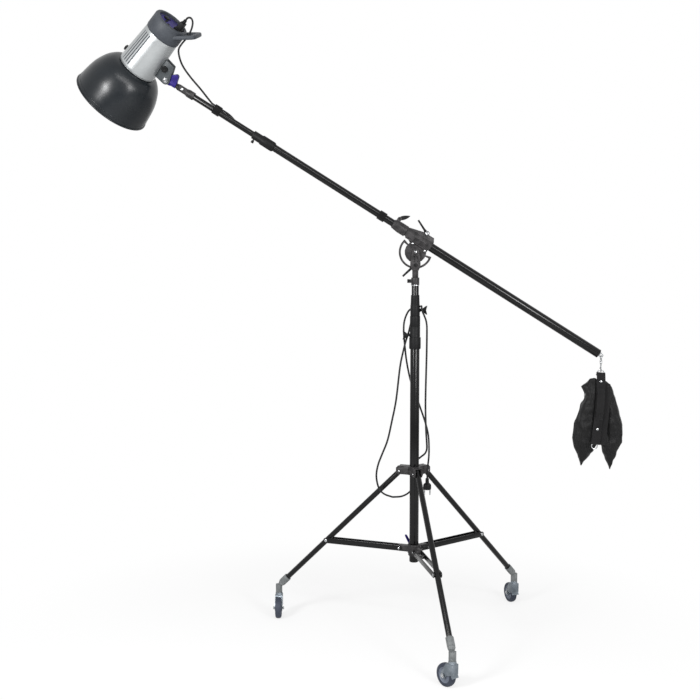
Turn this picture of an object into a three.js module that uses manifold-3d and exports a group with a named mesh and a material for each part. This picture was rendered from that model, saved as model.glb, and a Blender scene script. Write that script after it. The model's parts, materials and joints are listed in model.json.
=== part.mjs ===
// A rolling studio boom stand: a folding tripod on three casters, two telescoping risers, a tilting
// saddle that carries a three-section boom, a flash lamp with a deep reflector at the boom's low-weight
// end and a saddle sandbag on the other, with the lamp's mains lead run back along the boom.
// Millimetres, +Z up, boom in the XZ plane with the lamp towards -X. The origin lies on the floor under
// the middle of the object's box; the column stands at columnPlace.
import * as THREE from "three";
import { mergeGeometries, mergeVertices } from "three/addons/utils/BufferGeometryUtils.js";
import Module from "manifold-3d";

const wasm = await Module();
wasm.setup();

// Clearances and cutters
const seat = 0.3;
const overrun = 30;
const degree = Math.PI / 180;
const turn = 2 * Math.PI;
const facets = { large: 16, small: 8, screw: 8, cord: 6, body: 20, bell: 22, bag: 8 };

// Where the column stands, from the middle of the object's box
const columnPlace = { x: 210, y: 68.3 };

// Tripod
const tripod = {
  azimuths: { left: 158 * degree, right: 40 * degree, front: 280 * degree },
  pinCircle: 51,
  hubSpan: 274,
  strutLength: 279,
  legLength: 634,
};
const column = { radius: 16, wall: 1.5, foot: 258, top: 1060 };
const hub = {
  height: 30,
  rise: 19,
  sleeveRadius: 23,
  cheek: 4.5,
  lobeEnd: 12,
  pinRadius: 4,
  headRadius: 6.5,
  headHeight: 3,
  cornerRadius: 8,
};
const leg = { radius: 9.5, wall: 1.5, plugLength: 26, spacer: 1.6, spacerRadius: 8 };
const strut = { barHeight: 19, bar: 3, endRadius: 9.5 };
const strutHub = {
  height: 30,
  rise: 16,
  sleeveRadius: 22,
  collarRadius: 20,
  collarHeight: 9,
  lobeRadius: 10.5,
};
const hubLever = { reach: 17, rise: 31, tipRadius: 3.6, thick: 5, screwRadius: 5, out: 3, azimuth: 115 * degree };
const hubKnob = { radius: 9, length: 16, stemRadius: 4, stemLength: 7, azimuth: -12 * degree };
const foot = {
  collarRadius: 13.5,
  collarLength: 30,
  socketRadius: 12.5,
  socketTop: 118,
  base: 88,
  tubeDepth: 24,
  kneeReach: 19.66,
  kneeRise: 44.8,
};
const caster = {
  wheelRadius: 37.5,
  wheelWidth: 21,
  treadCrown: 2.5,
  coreRadius: 25,
  coreInset: 3,
  hubRadius: 9,
  axleRadius: 4,
  axleLength: 33,
  trail: 28,
  raceRadius: 13,
  plate: 2.5,
  forkWidth: 27,
  plateTop: 80,
  hoodGap: 3,
  hoodWall: 2.5,
  forkHub: 11,
  headings: { left: 269 * degree, right: 110 * degree, front: 127 * degree },
};

// Column clamps and risers
const columnClamp = {
  bottom: 1004,
  skirtHeight: 41,
  top: 1118,
  skirtRadius: 20,
  radius: 17.6,
  chamfer: 2.5,
  groove: 0.8,
  grooveRise: 79,
  knobRise: 48,
};
const riserLower = { radius: 14.2, wall: 1.5, foot: 340, top: 1160 };
const riserClamp = {
  top: 1190,
  radius: 16.4,
  neckRadius: 14.4,
  groove: 0.8,
  grooveRise: 38,
  knobRise: 19.7,
};
const riserUpper = { radius: 12.5, wall: 1.5, foot: 372, topDrop: 91 };
const clampKnob = { hubRadius: 6, stemRadius: 4, stemLength: 6, wing: 15, wingThick: 6, length: 12 };
const ring = { radius: 14, drop: 115, height: 3 };

// Tilting head
const head = { pivotHeight: 1337, tilt: 32.2 * degree, boomLift: 42 };
const socket = { radius: 14, drop: 87, wallTop: 4, knobDrop: 99, knobRadius: 6.5, knobLength: 9 };
const yoke = {
  stemRadius: 10.5,
  stemDrop: 63,
  shoulderHalf: 17,
  shoulderDrop: 37,
  armHalf: 12,
  armInner: 5,
  armOuter: 14,
  ribWidth: 5,
  ribDepth: 4,
};
const tiltBolt = { radius: 5, headRadius: 8.5, headHeight: 4.5 };
const tiltLock = { drop: 44, radius: 4, headRadius: 6, headHeight: 4, washer: 7 };
const tiltLever = { hubRadius: 8, hubLength: 12, length: 58, rootRadius: 5, tipRadius: 3.2 };
const leverLean = 223 * degree;
const sector = {
  half: 4.5,
  discRadius: 37,
  slotOuter: 50,
  rimRadius: 57,
  start: 131 * degree,
  sweep: 212 * degree,
  endBridge: 9 * degree,
  rivetX: 24,
  rivetLift: 20,
  rivetRadius: 4.2,
  rivetHead: 2,
  lugRadius: 7.5,
};
const saddle = {
  front: -63,
  back: 36,
  half: 20,
  wall: 4,
  top: 73,
  noseTop: 59,
  noseBottom: 33,
  noseLength: 7.5,
  earX: -1,
  earLift: 74,
  earRadius: 9,
  slit: 3,
  ribHeight: 2,
  ribWidth: 4,
  ribs: [-30, -6, 18],
  lugHalf: 12,
  capHalf: 12.4,
};
const saddleLever = {
  hubRadius: 6.5,
  length: 54,
  radius: 3.8,
  tipRadius: 3.2,
  lean: 155 * degree,
  screwRadius: 7.5,
  headHeight: 3,
};

// Boom
const boomTube = { radius: 15, wall: 1.5, front: -92, back: 718 };
const boomPlug = { flange: 4, depth: 22, eyeRadius: 8, eyeHole: 4.6, eyeThick: 5, eyeOut: 10 };
const boomClamp = { front: -117, back: -64, frontRadius: 15.6, backRadius: 19, earHeight: 9, earHalf: 7 };
const wingLever = {
  pivotX: -106,
  pivotLift: 66.5,
  length: 38,
  thick: 8,
  fat: 11,
  lean: 47 * degree,
  hub: 5.5,
  pinRadius: 2.5,
  topShare: 0.6,
  bellyShare: 0.4,
};
const middleTube = { radius: 12.5, wall: 1.5, front: -650, back: 180 };
const middleClamp = { front: -678, back: -595, radius: 17, waist: 14.5, waistShare: 0.42, nub: 5, nubOut: 7, stemShare: 0.6 };
const frontTube = { radius: 10, wall: 1.5, front: -928, back: -330 };
const boomTip = {
  back: -914,
  front: -982,
  collarRadius: 13.5,
  collarLength: 22,
  bodyRadius: 11,
  neckRadius: 8.5,
  flat: 8,
  buttonRadius: 4.5,
  spigotRadius: 6,
  spigotLength: 20,
};
const strap = { length: 26, thick: 3.4 };
const tieFrontX = -824;
const tieRearX = -162;

// Lamp, in a frame on its tilt pin: x forward along the beam, y along the pin, z towards the housing
const lampPlace = { pinX: -1022, swivel: 21.4 * degree, axisLift: 100 };
const lampSocket = {
  sleeveRadius: 11.5,
  sleeveBack: -984,
  sleeveFront: -1006,
  tongue: 7,
  pinRadius: 5,
  eyeRadius: 13,
  hornX: -996,
  hornLift: 27,
  hornRadius: 8,
  headRadius: 9,
  headHeight: 3.5,
};
const socketLever = { length: 30, radius: 2, stemRadius: 4, stemLength: 11 };
const bracket = {
  inner: 7.5,
  cheek: 5,
  eyeRadius: 15,
  front: 14,
  back: -56,
  lift: 48,
  backFoot: 4,
  bossX: -28,
  bossLift: 24,
  bossRadius: 10,
  bossHeight: 5,
  baseDepth: 12,
};
const lampBody = {
  front: 40,
  back: -107,
  frontRadius: 67.5,
  backRadius: 59.5,
  wall: 3,
  grooves: [42 * degree, 52 * degree, 62 * degree, 71 * degree],
  grooveWidth: 2.6,
  grooveDepth: 1.2,
  grooveMargin: 12,
  lugX: 12,
  lugLength: 17,
  lugWidth: 13,
  lugHeight: 7,
};
const lampRear = {
  back: -165,
  radius: 61,
  rim: 7,
  recess: 9,
  round: 6,
};
const handle = {
  half: 46,
  bar: 16,
  thick: 13,
  reach: 62,
  root: 16,
  rootBack: -148,
  drop: 50,
  lean: 47 * degree,
  corner: 20,
};
const reflector = {
  back: 41,
  throatRadius: 49,
  neckRadius: 60,
  mouth: 198,
  mouthRadius: 135,
  wall: 1.6,
  rim: 3.5,
  beadInset: 15,
  bead: 1.6,
  crownShares: [0.03, 0.1, 0.24, 0.48, 0.76],
  flareShares: [0.26, 0.45, 0.66, 0.86, 0.965],
};
const dome = { baseBack: 36, baseFront: 52, radius: 30, height: 46, rings: 5 };

// Lead and its plugs
const lead = { radius: 3.25 };
const inletPlug = { width: 27, height: 19, length: 34, lift: 68, side: 6, relief: 12, reliefRadius: 5.2 };
const mainsPlug = {
  place: { x: 44, y: -16, top: 556 },
  radius: 14,
  length: 24,
  shoulder: 5,
  neckRadius: 6,
  neckLength: 16,
  pinRadius: 2.4,
  pinLength: 19,
  pinGap: 9.5,
};

// Places along the lead's four stretches, from the stand's column at the floor
const leadPlaces = {
  lamp: [
    [-763.3, -82.9, 2098],
    [-756.3, -87.4, 2103.8],
    [-747.1, -92.2, 2102.9],
    [-741.1, -94.4, 2096],
    [-739.9, -92.8, 2083.9],
    [-744.7, -88.4, 2067.2],
    [-753.7, -83.5, 2051.7],
    [-764.4, -79.7, 2037.3],
    [-780.2, -76.1, 2020.2],
    [-790.5, -70.6, 2003.3],
    [-788.5, -61.5, 1978.1],
    [-778, -50.3, 1950.4],
    [-755, -37.7, 1917.4],
    [-725.6, -22.6, 1882.7],
    [-693.7, 0, 1841.8],
    [-686.3, 0, 1834.9],
    [-679.1, 0, 1830.3],
  ],
  boom: [
    [-656.2, 0, 1815.7],
    [-639, 2.5, 1804.9],
    [-627.2, 7.5, 1795.4],
    [-616.8, 11.8, 1783.8],
    [-606.9, 13.9, 1771.4],
    [-593.6, 14.1, 1760.5],
    [-575, 16, 1748.8],
    [-563.2, 19.6, 1741.3],
    [-551.3, 21.3, 1733.8],
    [-519.2, 21.3, 1713.6],
    [-485.3, 21.3, 1692.3],
    [-473.5, 20.6, 1684.8],
    [-458.3, 17.8, 1675.2],
    [-441.3, 16.6, 1664.6],
    [-383.8, 16.6, 1628.3],
    [-299.2, 16.6, 1575],
    [-214.6, 16.6, 1521.7],
    [-126.4, 16.6, 1466.2],
  ],
  head: [
    [-103, 16.6, 1451.5],
    [-96.1, 16.8, 1447.1],
    [-74.5, 26, 1428.8],
    [-41.6, 29, 1402.2],
    [-20, 31, 1380.3],
    [-8.4, 35, 1351.8],
    [-3, 38, 1325],
    [0, 40, 1295],
    [0, 39, 1262],
    [0, 38, 1225],
    [-1, 38, 1180],
    [-4, 37, 1130],
    [-12, 33, 1095],
    [-19, 26, 1066],
    [-25, 19, 1047],
    [-31, 13, 1030],
    [-40, 9, 995],
    [-51, 6, 940],
    [-64, 4, 827],
    [-78, 3, 755],
    [-93, 2, 687],
    [-111, 0, 640],
    [-126, 0, 600],
    [-132, 0, 560],
    [-124, 1, 520],
    [-106, 4, 497],
    [-75, 10, 484],
    [-42, 18, 485],
    [-15, 28, 498],
    [0, 34, 522],
    [4, 35, 552],
    [4, 35, 582],
    [9, 35, 606],
    [24, 30, 622],
    [37, 16, 636],
    [43, 2, 654],
    [42, -6, 682],
    [39, -8, 730],
    [37, -8, 828],
    [40, -8, 991],
    [40.5, -8, 1070],
  ],
  hang: [
    [40.5, -8, 1070.3],
    [40, -8.5, 1085],
    [37, -10, 1103],
    [31, -12, 1119],
    [25, -13.5, 1133],
    [22, -10, 1145],
    [22, -4, 1150.5],
    [21.5, 4, 1152],
    [20, 11, 1151],
    [14, 19, 1149],
    [3, 26, 1147],
    [-9, 27, 1143],
    [-21, 25, 1134],
    [-31, 22.5, 1115],
    [-37, 21, 1092],
    [-38, 20.5, 1065],
    [-36, 20.5, 1035],
    [-33, 21, 1005],
    [-29, 22, 970],
    [-21, 25, 925],
    [-11, 29, 885],
    [4, 31, 845],
    [20, 27, 800],
    [37, 15, 750],
    [47, 2, 710],
    [50, -8, 670],
    [49, -15, 630],
    [45, -16, 590],
    [44, -16, 556.3],
  ],
};

// Counterweight
const hook = { wire: 2, loop: 7.5, drop: 42.5, swivelRadius: 4.5, ringHalf: 15, ringHeight: 14, ringWire: 2 };
const bag = {
  top: -78,
  reach: 330,
  half: 100,
  depth: 38,
  skin: 2,
  mouth: 6,
  mouthDrop: 18,
  mouthHalf: 34,
  strapWidth: 30,
  strapThick: 3,
  strapSink: 14,
  strapLoop: 5.5,
  strapLean: 5.3 * degree,
  lowerRing: 10,
};
// Shares of the bag's reach, half width and depth, down each of the two pouches: how far down, the
// left and right edges and the thickness
const pouchShares = {
  left: [
    [0, -0.4, -0.08, 0.26],
    [0.08, -0.7, 0.05, 0.66],
    [0.18, -0.64, 0.1, 0.84],
    [0.31, -0.8, 0.1, 0.95],
    [0.48, -0.96, 0.05, 1],
    [0.66, -1.01, 0, 0.95],
    [0.77, -0.92, -0.14, 0.8],
    [0.87, -0.76, -0.42, 0.5],
    [0.94, -0.66, -0.6, 0.12],
  ],
  right: [
    [0.02, -0.04, 0.22, 0.26],
    [0.08, -0.1, 0.42, 0.66],
    [0.18, -0.1, 0.54, 0.84],
    [0.31, -0.1, 0.7, 0.95],
    [0.5, -0.08, 0.87, 1],
    [0.68, -0.02, 0.83, 0.95],
    [0.8, 0.06, 0.68, 0.76],
    [0.92, 0.24, 0.5, 0.44],
    [0.99, 0.34, 0.4, 0.12],
  ],
};
// Shares of the bag's depth and reach along the strap's outer face
const strapShares = [
  [0.09, 0.01],
  [0.66, -0.11],
  [1.06, -0.27],
  [1.14, -0.5],
  [1.08, -0.7],
];

// Materials
const finish = (color, roughness, metalness) => new THREE.MeshStandardMaterial({ color, roughness, metalness });
const blackCoat = finish(0x141415, 0.35, 0.3);
const blackPlastic = finish(0x1c1d1f, 0.6, 0);
const greyCasting = finish(0x7c7f80, 0.5, 0.4);
const darkCasting = finish(0x303234, 0.55, 0.4);
const zincSteel = finish(0xc9cccf, 0.25, 1);
const tyreGrey = finish(0x3a4150, 0.7, 0);
const silverPaint = finish(0xb9bdbf, 0.35, 0.7);
const slatePlastic = finish(0x4a4e52, 0.5, 0);
const violetPlastic = finish(0x3b3780, 0.5, 0);
const reflectorBlack = finish(0x2a2e33, 0.4, 0.2);
const frosted = finish(0xe9ecec, 0.3, 0);
const cloth = finish(0x17181a, 0.9, 0);
const sand = finish(0xb79f74, 1, 0);
const cordGrey = finish(0x3b3d40, 0.6, 0);

// Solids
function toSolid(geometry) {
  const bare = geometry.clone();
  for (const name of Object.keys(bare.attributes)) if (name !== "position") bare.deleteAttribute(name);
  const merged = mergeVertices(bare);
  return new wasm.Manifold(
    new wasm.Mesh({
      numProp: 3,
      vertProperties: merged.attributes.position.array,
      triVerts: new Uint32Array(merged.index.array),
    }),
  );
}

function toGeometry(solid) {
  const { vertProperties, triVerts } = solid.getMesh();
  const geometry = new THREE.BufferGeometry();
  geometry.setAttribute("position", new THREE.BufferAttribute(new Float32Array(vertProperties), 3));
  geometry.setIndex(new THREE.BufferAttribute(new Uint32Array(triVerts), 1));
  const loose = geometry.toNonIndexed();
  loose.computeVertexNormals();
  return loose;
}

const join = (...shapes) => toGeometry(shapes.map(toSolid).reduce((whole, next) => whole.add(next)));
const overlap = (shape, other) => toGeometry(toSolid(shape).intersect(toSolid(other)));
const cut = (shape, ...tools) =>
  toGeometry(tools.map(toSolid).reduce((whole, next) => whole.subtract(next), toSolid(shape)));

function group(parent, x = 0, y = 0, z = 0) {
  const made = new THREE.Group();
  made.position.set(x, y, z);
  parent.add(made);
  return made;
}

function piece(parent, name, geometry, material) {
  const mesh = new THREE.Mesh(geometry, material);
  mesh.name = name;
  parent.add(mesh);
  return mesh;
}

// A profile of [radius, height] points turned about Z
function turned(points, segments = facets.large) {
  let area = 0;
  points.forEach(([r, h], i) => {
    const [nextR, nextH] = points[(i + 1) % points.length];
    area += r * nextH - nextR * h;
  });
  const ordered = area > 0 ? points : [...points].reverse();
  const onAxis = ordered.every(([r]) => r > 0);
  const outline = ordered.map(([r, h]) => new THREE.Vector2(r, h));
  if (onAxis) outline.push(outline[0].clone());
  return new THREE.LatheGeometry(rotateToAxis(outline, onAxis), segments).rotateX(Math.PI / 2);
}

// An open profile starts at its point on the axis that follows the closing edge
function rotateToAxis(outline, closed) {
  if (closed) return outline;
  const count = outline.length;
  const first = outline.findIndex((point, i) => point.x === 0 && outline[(i + count - 1) % count].x === 0);
  return [...outline.slice(first), ...outline.slice(0, first)];
}

const post = (radius, from, to, segments) =>
  turned([[0, from], [radius, from], [radius, to], [0, to]], segments);
const pipe = (radius, bore, from, to, segments) =>
  turned([[bore, from], [radius, from], [radius, to], [bore, to]], segments);
const alongX = (geometry) => geometry.rotateY(Math.PI / 2);
const alongY = (geometry) => geometry.rotateX(-Math.PI / 2);
const rod = (radius, from, to, segments) => alongX(post(radius, from, to, segments));
const axle = (radius, from, to, segments) => alongY(post(radius, from, to, segments));

// A cutter along Y that leaves the seat all round a turning pin
const pinHole = (radius) => axle((radius + seat) / Math.cos(Math.PI / facets.screw), -overrun, overrun, facets.screw);

function block(x0, x1, y0, y1, z0, z1) {
  const box = new THREE.BoxGeometry(x1 - x0, y1 - y0, z1 - z0);
  return box.translate((x0 + x1) / 2, (y0 + y1) / 2, (z0 + z1) / 2);
}

// A flat shape drawn in X and Z, with its thickness centred on Y
function slab(shape, thickness, curveSegments = 4) {
  const outline = shape instanceof THREE.Shape ? shape : new THREE.Shape(shape.map(([x, z]) => new THREE.Vector2(x, z)));
  const solid = new THREE.ExtrudeGeometry(outline, { depth: thickness, bevelEnabled: false, curveSegments });
  return solid.rotateX(Math.PI / 2).translate(0, thickness / 2, 0);
}

// A bar with round ends between two points of the XZ plane
function link(x0, z0, r0, x1, z1, r1, thickness, curveSegments = 4) {
  const lean = Math.atan2(z1 - z0, x1 - x0);
  const side = Math.acos(THREE.MathUtils.clamp((r0 - r1) / Math.hypot(x1 - x0, z1 - z0), -1, 1));
  const shape = new THREE.Shape();
  shape.absarc(x1, z1, r1, lean - side, lean + side, false);
  shape.absarc(x0, z0, r0, lean + side, lean - side + turn, false);
  return slab(shape, thickness, curveSegments);
}

const object = new THREE.Group();
const stand = group(object, columnPlace.x, columnPlace.y, 0);

// Tripod
// The legs' slope follows from the spread struts, and the hubs' heights and the feet's places from it
const legSlope = Math.atan2(tripod.hubSpan, tripod.strutLength);
const legPinSpan = Math.hypot(tripod.hubSpan, tripod.strutLength);
const pinHeight = foot.base + foot.kneeRise + tripod.legLength * Math.sin(legSlope);
const strutHeight = pinHeight - tripod.hubSpan;
const stemCircle = tripod.pinCircle + tripod.legLength * Math.cos(legSlope) + foot.kneeReach;

function spoke(azimuth) {
  const made = group(stand);
  made.rotation.z = azimuth;
  return made;
}

function turnedTo(geometry, azimuth) {
  return geometry.rotateZ(azimuth);
}

function makeLegHub() {
  const bottom = pinHeight + hub.rise - hub.height;
  const top = pinHeight + hub.rise;
  const inner = leg.radius + seat;
  const lobes = Object.values(tripod.azimuths).flatMap((azimuth) => {
    const outline = new THREE.Shape();
    outline.moveTo(column.radius, bottom);
    outline.lineTo(tripod.pinCircle, bottom);
    outline.absarc(tripod.pinCircle, pinHeight, hub.lobeEnd, -Math.PI / 2, 0, false);
    outline.lineTo(tripod.pinCircle + hub.lobeEnd, top - hub.cornerRadius);
    outline.lineTo(tripod.pinCircle + hub.lobeEnd - hub.cornerRadius, top);
    outline.lineTo(column.radius, top);
    const cheeks = slab(outline, 2 * (inner + hub.cheek));
    const gap = cut(
      block(hub.sleeveRadius + hub.cheek, tripod.pinCircle + overrun, -inner, inner, bottom - overrun, top - hub.cheek),
      post(hub.sleeveRadius, bottom - overrun, top + overrun),
    );
    const pin = axle(hub.pinRadius, -inner - hub.cheek, inner + hub.cheek, facets.screw);
    const heads = join(
      axle(hub.headRadius, inner + hub.cheek - hub.cheek / 2, inner + hub.cheek + hub.headHeight, 6),
      axle(hub.headRadius, -inner - hub.cheek - hub.headHeight, -inner - hub.cheek / 2, 6),
    );
    const lobe = join(
      cut(cheeks, gap, slotAbove(inner, top)),
      pin.translate(tripod.pinCircle, 0, pinHeight),
      heads.translate(tripod.pinCircle, 0, pinHeight),
    );
    return [turnedTo(lobe, azimuth)];
  });
  const sleeve = post(hub.sleeveRadius, bottom, top);
  const whole = join(sleeve, ...lobes);
  return cut(whole, post(column.radius + seat, bottom - overrun, top + overrun));
}

// The upper mouth of a lobe, open above the pin so that the leg can swing down beside the column
function slotAbove(inner, top) {
  return block(tripod.pinCircle, tripod.pinCircle + overrun, -inner, inner, pinHeight, top + overrun);
}

function makeLeg() {
  const holePlace = legPinSpan;
  const width = 2 * leg.radius;
  const tube = rod(leg.radius, 0, tripod.legLength, facets.small);
  const eye = axle(leg.radius, -width / 2, width / 2, facets.small);
  const spacer = axle(leg.spacerRadius, -leg.radius - leg.spacer, leg.radius + leg.spacer, facets.small);
  const bore = rod(leg.radius - leg.wall, leg.plugLength, tripod.legLength + overrun, facets.small);
  const pinBore = pinHole(hub.pinRadius);
  return cut(join(tube, eye, spacer.translate(holePlace, 0, 0)), pinBore, bore);
}

function makeLegFoot() {
  const endX = tripod.pinCircle + tripod.legLength * Math.cos(legSlope);
  const endZ = pinHeight - tripod.legLength * Math.sin(legSlope);
  const collar = rod(foot.collarRadius, -foot.tubeDepth, foot.collarLength - foot.tubeDepth, facets.small);
  collar.rotateY(legSlope).translate(endX, 0, endZ);
  const bore = rod(leg.radius + seat, -foot.tubeDepth - overrun, seat, facets.small);
  bore.rotateY(legSlope).translate(endX, 0, endZ);
  const knee = new THREE.SphereGeometry(foot.collarRadius, facets.screw, facets.screw / 2);
  knee.translate(endX + foot.collarRadius / 2, 0, endZ - foot.collarRadius / 2);
  const stem = post(foot.socketRadius, foot.base, foot.socketTop, facets.small).translate(stemCircle, 0, 0);
  return cut(join(collar, knee, stem), bore);
}

function makeStrut() {
  const inner = leg.radius + leg.spacer + seat;
  const bars = [-1, 1].map((side) => {
    const bar = link(0, 0, strut.endRadius, tripod.strutLength, 0, strut.endRadius, strut.bar);
    return bar.translate(0, side * (inner + strut.bar / 2), 0);
  });
  const reach = inner + strut.bar + hub.headHeight;
  const pin = axle(hub.pinRadius, -reach, reach, facets.screw);
  const heads = [-1, 1].map((side) => {
    const outside = inner + strut.bar / 2;
    const head = axle(hub.headRadius, Math.min(side * outside, side * reach), Math.max(side * outside, side * reach), 6);
    return head.translate(tripod.strutLength, 0, 0);
  });
  return join(...bars, pin, ...heads);
}

function makeStrutHub() {
  const bottom = strutHeight + strutHub.rise - strutHub.height;
  const top = strutHeight + strutHub.rise;
  const half = leg.radius + leg.spacer;
  const lobes = Object.values(tripod.azimuths).map((azimuth) => {
    const tongue = link(
      column.radius, strutHeight, strutHub.lobeRadius,
      tripod.pinCircle, strutHeight, strutHub.lobeRadius, 2 * half,
    );
    const bore = pinHole(hub.pinRadius);
    return turnedTo(cut(tongue, bore.translate(tripod.pinCircle, 0, strutHeight)), azimuth);
  });
  const sleeve = post(strutHub.sleeveRadius, bottom, top);
  const collar = post(strutHub.collarRadius, bottom - strutHub.collarHeight, bottom + strutHub.collarHeight);
  const boss = rod(hubKnob.stemRadius + hub.cheek, column.radius, strutHub.sleeveRadius + hub.cheek, facets.screw);
  boss.rotateZ(hubKnob.azimuth).translate(0, 0, top - hub.cornerRadius);
  const leverBoss = rod(hubLever.screwRadius, column.radius, strutHub.sleeveRadius + hubLever.out, facets.screw);
  leverBoss.rotateZ(hubLever.azimuth).translate(0, 0, top - hubLever.screwRadius);
  const bore = post(column.radius + seat, bottom - overrun, top + overrun);
  return cut(join(sleeve, collar, ...lobes, boss, leverBoss), bore);
}

function makeHubLever() {
  const plate = link(0, 0, hubLever.screwRadius, hubLever.reach, hubLever.rise, hubLever.tipRadius, hubLever.thick);
  return plate.rotateZ(Math.PI / 2);
}

function makeHubKnob() {
  const grip = rod(hubKnob.radius, hubKnob.stemLength, hubKnob.stemLength + hubKnob.length, facets.screw);
  return join(grip, rod(hubKnob.stemRadius, 0, hubKnob.stemLength + seat, facets.screw));
}

// Casters, each in a frame on its swivel axis at the floor, with the wheel trailing towards -X
const axleHeight = caster.wheelRadius * Math.cos(Math.PI / facets.large);
function makeFork() {
  const side = caster.forkWidth / 2;
  const axleX = -caster.trail;
  const axleZ = axleHeight;
  const hoodInner = caster.wheelRadius + caster.hoodGap;
  const hoodOuter = hoodInner + caster.hoodWall;
  const cheekShape = new THREE.Shape();
  cheekShape.moveTo(caster.raceRadius, caster.plateTop);
  cheekShape.lineTo(-caster.raceRadius - caster.plate, caster.plateTop);
  cheekShape.lineTo(axleX - caster.forkHub, axleZ + caster.forkHub / 2);
  cheekShape.absarc(axleX, axleZ, caster.forkHub, Math.PI, 0, false);
  cheekShape.lineTo(axleX + hoodInner, axleZ + caster.forkHub);
  const cheeks = cut(
    slab(cheekShape, 2 * side),
    slab(discShape(axleX, axleZ, hoodInner), 2 * (side - caster.plate)),
    block(axleX - hoodInner, axleX, -side + caster.plate, side - caster.plate, -overrun, axleZ + hoodInner),
  );
  const hood = cut(
    slab(discShape(axleX, axleZ, hoodOuter), 2 * side),
    slab(discShape(axleX, axleZ, hoodInner), 2 * overrun),
    block(axleX - 2 * hoodOuter, axleX + caster.forkHub, -overrun, overrun, -overrun, axleZ + 2 * hoodOuter),
    block(axleX, axleX + 2 * hoodOuter, -overrun, overrun, -overrun, axleZ),
    block(axleX, axleX + 2 * hoodOuter, -overrun, overrun, caster.plateTop, axleZ + 2 * hoodOuter),
  );
  const race = post(caster.raceRadius, caster.plateTop - caster.plate, foot.base - seat, facets.small);
  const shaft = axle(caster.axleRadius, -caster.axleLength / 2, caster.axleLength / 2, facets.screw);
  return join(cheeks, hood, race, shaft.translate(axleX, 0, axleZ));
}

function discShape(x, z, radius) {
  const shape = new THREE.Shape();
  shape.absarc(x, z, radius, 0, turn, false);
  return shape;
}

function makeWheel() {
  const half = caster.wheelWidth / 2;
  const r = caster.wheelRadius;
  const profile = [
    [caster.axleRadius + seat, -half],
    [caster.hubRadius, -half],
    [caster.coreRadius, -half + caster.coreInset],
    [r - caster.treadCrown, -half + caster.coreInset / 2],
    [r, -half + 2 * caster.coreInset],
    [r, half - 2 * caster.coreInset],
    [r - caster.treadCrown, half - caster.coreInset / 2],
    [caster.coreRadius, half - caster.coreInset],
    [caster.hubRadius, half],
    [caster.axleRadius + seat, half],
  ];
  // One facet lies flat on the floor
  const lathe = turned(profile).rotateZ(turn / facets.large / 2);
  return alongY(lathe);
}

piece(stand, "column_tube", pipe(column.radius, column.radius - column.wall, column.foot, column.top), blackCoat);
piece(stand, "leg_hub", makeLegHub(), darkCasting);
const strutCarrier = group(stand);
piece(strutCarrier, "strut_hub", makeStrutHub(), darkCasting);
const strutHubTop = strutHeight + strutHub.rise;

const hubLeverPlace = group(strutCarrier);
hubLeverPlace.rotation.z = hubLever.azimuth;
const hubLeverPivot = group(hubLeverPlace, strutHub.sleeveRadius + hubLever.out + seat + hubLever.thick / 2, 0,
  strutHubTop - hubLever.screwRadius);
hubLeverPivot.name = "joint strut_hub_lever_turn";
piece(hubLeverPivot, "strut_hub_lever", makeHubLever(), violetPlastic);

const hubKnobPlace = group(strutCarrier);
hubKnobPlace.rotation.z = hubKnob.azimuth;
const hubKnobPivot = group(hubKnobPlace, strutHub.sleeveRadius + hub.cheek + seat, 0, strutHubTop - hub.cornerRadius);
hubKnobPivot.name = "joint strut_hub_knob_turn";
piece(hubKnobPivot, "strut_hub_knob", makeHubKnob(), blackPlastic);

for (const [side, azimuth] of Object.entries(tripod.azimuths)) {
  const frame = spoke(azimuth);
  const legPivot = group(frame, tripod.pinCircle, 0, pinHeight);
  legPivot.name = `joint leg_${side}_fold`;
  const legBody = group(legPivot);
  legBody.rotation.y = legSlope;
  piece(legBody, `leg_${side}`, makeLeg(), blackCoat);
  piece(frame, `leg_foot_${side}`, makeLegFoot(), greyCasting);
  const strutPivot = group(frame, tripod.pinCircle, 0, strutHeight);
  strutPivot.name = `joint strut_${side}_swing`;
  piece(strutPivot, `strut_${side}`, makeStrut(), blackCoat);
  const swivel = group(frame, stemCircle, 0, 0);
  swivel.name = `joint caster_${side}_swivel`;
  swivel.rotation.z = caster.headings[side] + Math.PI - azimuth;
  piece(swivel, `caster_fork_${side}`, makeFork(), greyCasting);
  const wheelPivot = group(swivel, -caster.trail, 0, axleHeight);
  wheelPivot.name = `joint caster_${side}_roll`;
  piece(wheelPivot, `caster_wheel_${side}`, makeWheel(), tyreGrey);
}

// The head's heights, down from its pivot
const riserUpperTop = head.pivotHeight - riserUpper.topDrop;
const ringBottom = head.pivotHeight - ring.drop;
const socketTop = head.pivotHeight - socket.drop;
const socketKnobHeight = head.pivotHeight - socket.knobDrop;
const yokeStemTop = head.pivotHeight - yoke.stemDrop;
const yokeShoulder = head.pivotHeight - yoke.shoulderDrop;

// Risers and their clamps
function knobBoss(height, radius) {
  return rod(clampKnob.hubRadius, 0, radius + clampKnob.stemLength / 2, facets.screw).translate(0, 0, height);
}

function makeColumnClamp() {
  const c = columnClamp;
  const skirtTop = c.bottom + c.skirtHeight;
  const groove = c.bottom + c.grooveRise;
  const shell = turned([
    [column.radius + seat, c.bottom],
    [c.skirtRadius - c.chamfer, c.bottom],
    [c.skirtRadius, c.bottom + c.chamfer],
    [c.skirtRadius, skirtTop - c.chamfer / 2],
    [c.radius, skirtTop],
    [c.radius, groove - c.groove],
    [c.radius - c.groove, groove],
    [c.radius, groove + c.groove],
    [c.radius, c.top - c.groove],
    [c.radius - c.groove, c.top],
    [riserLower.radius + seat, c.top],
    [riserLower.radius + seat, column.top + seat],
    [column.radius + seat, column.top + seat],
  ]);
  const boss = cut(
    knobBoss(c.bottom + c.knobRise, c.radius).rotateZ(Math.PI),
    post(column.radius + seat, c.bottom - overrun, c.top + overrun),
  );
  return join(shell, boss);
}

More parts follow.
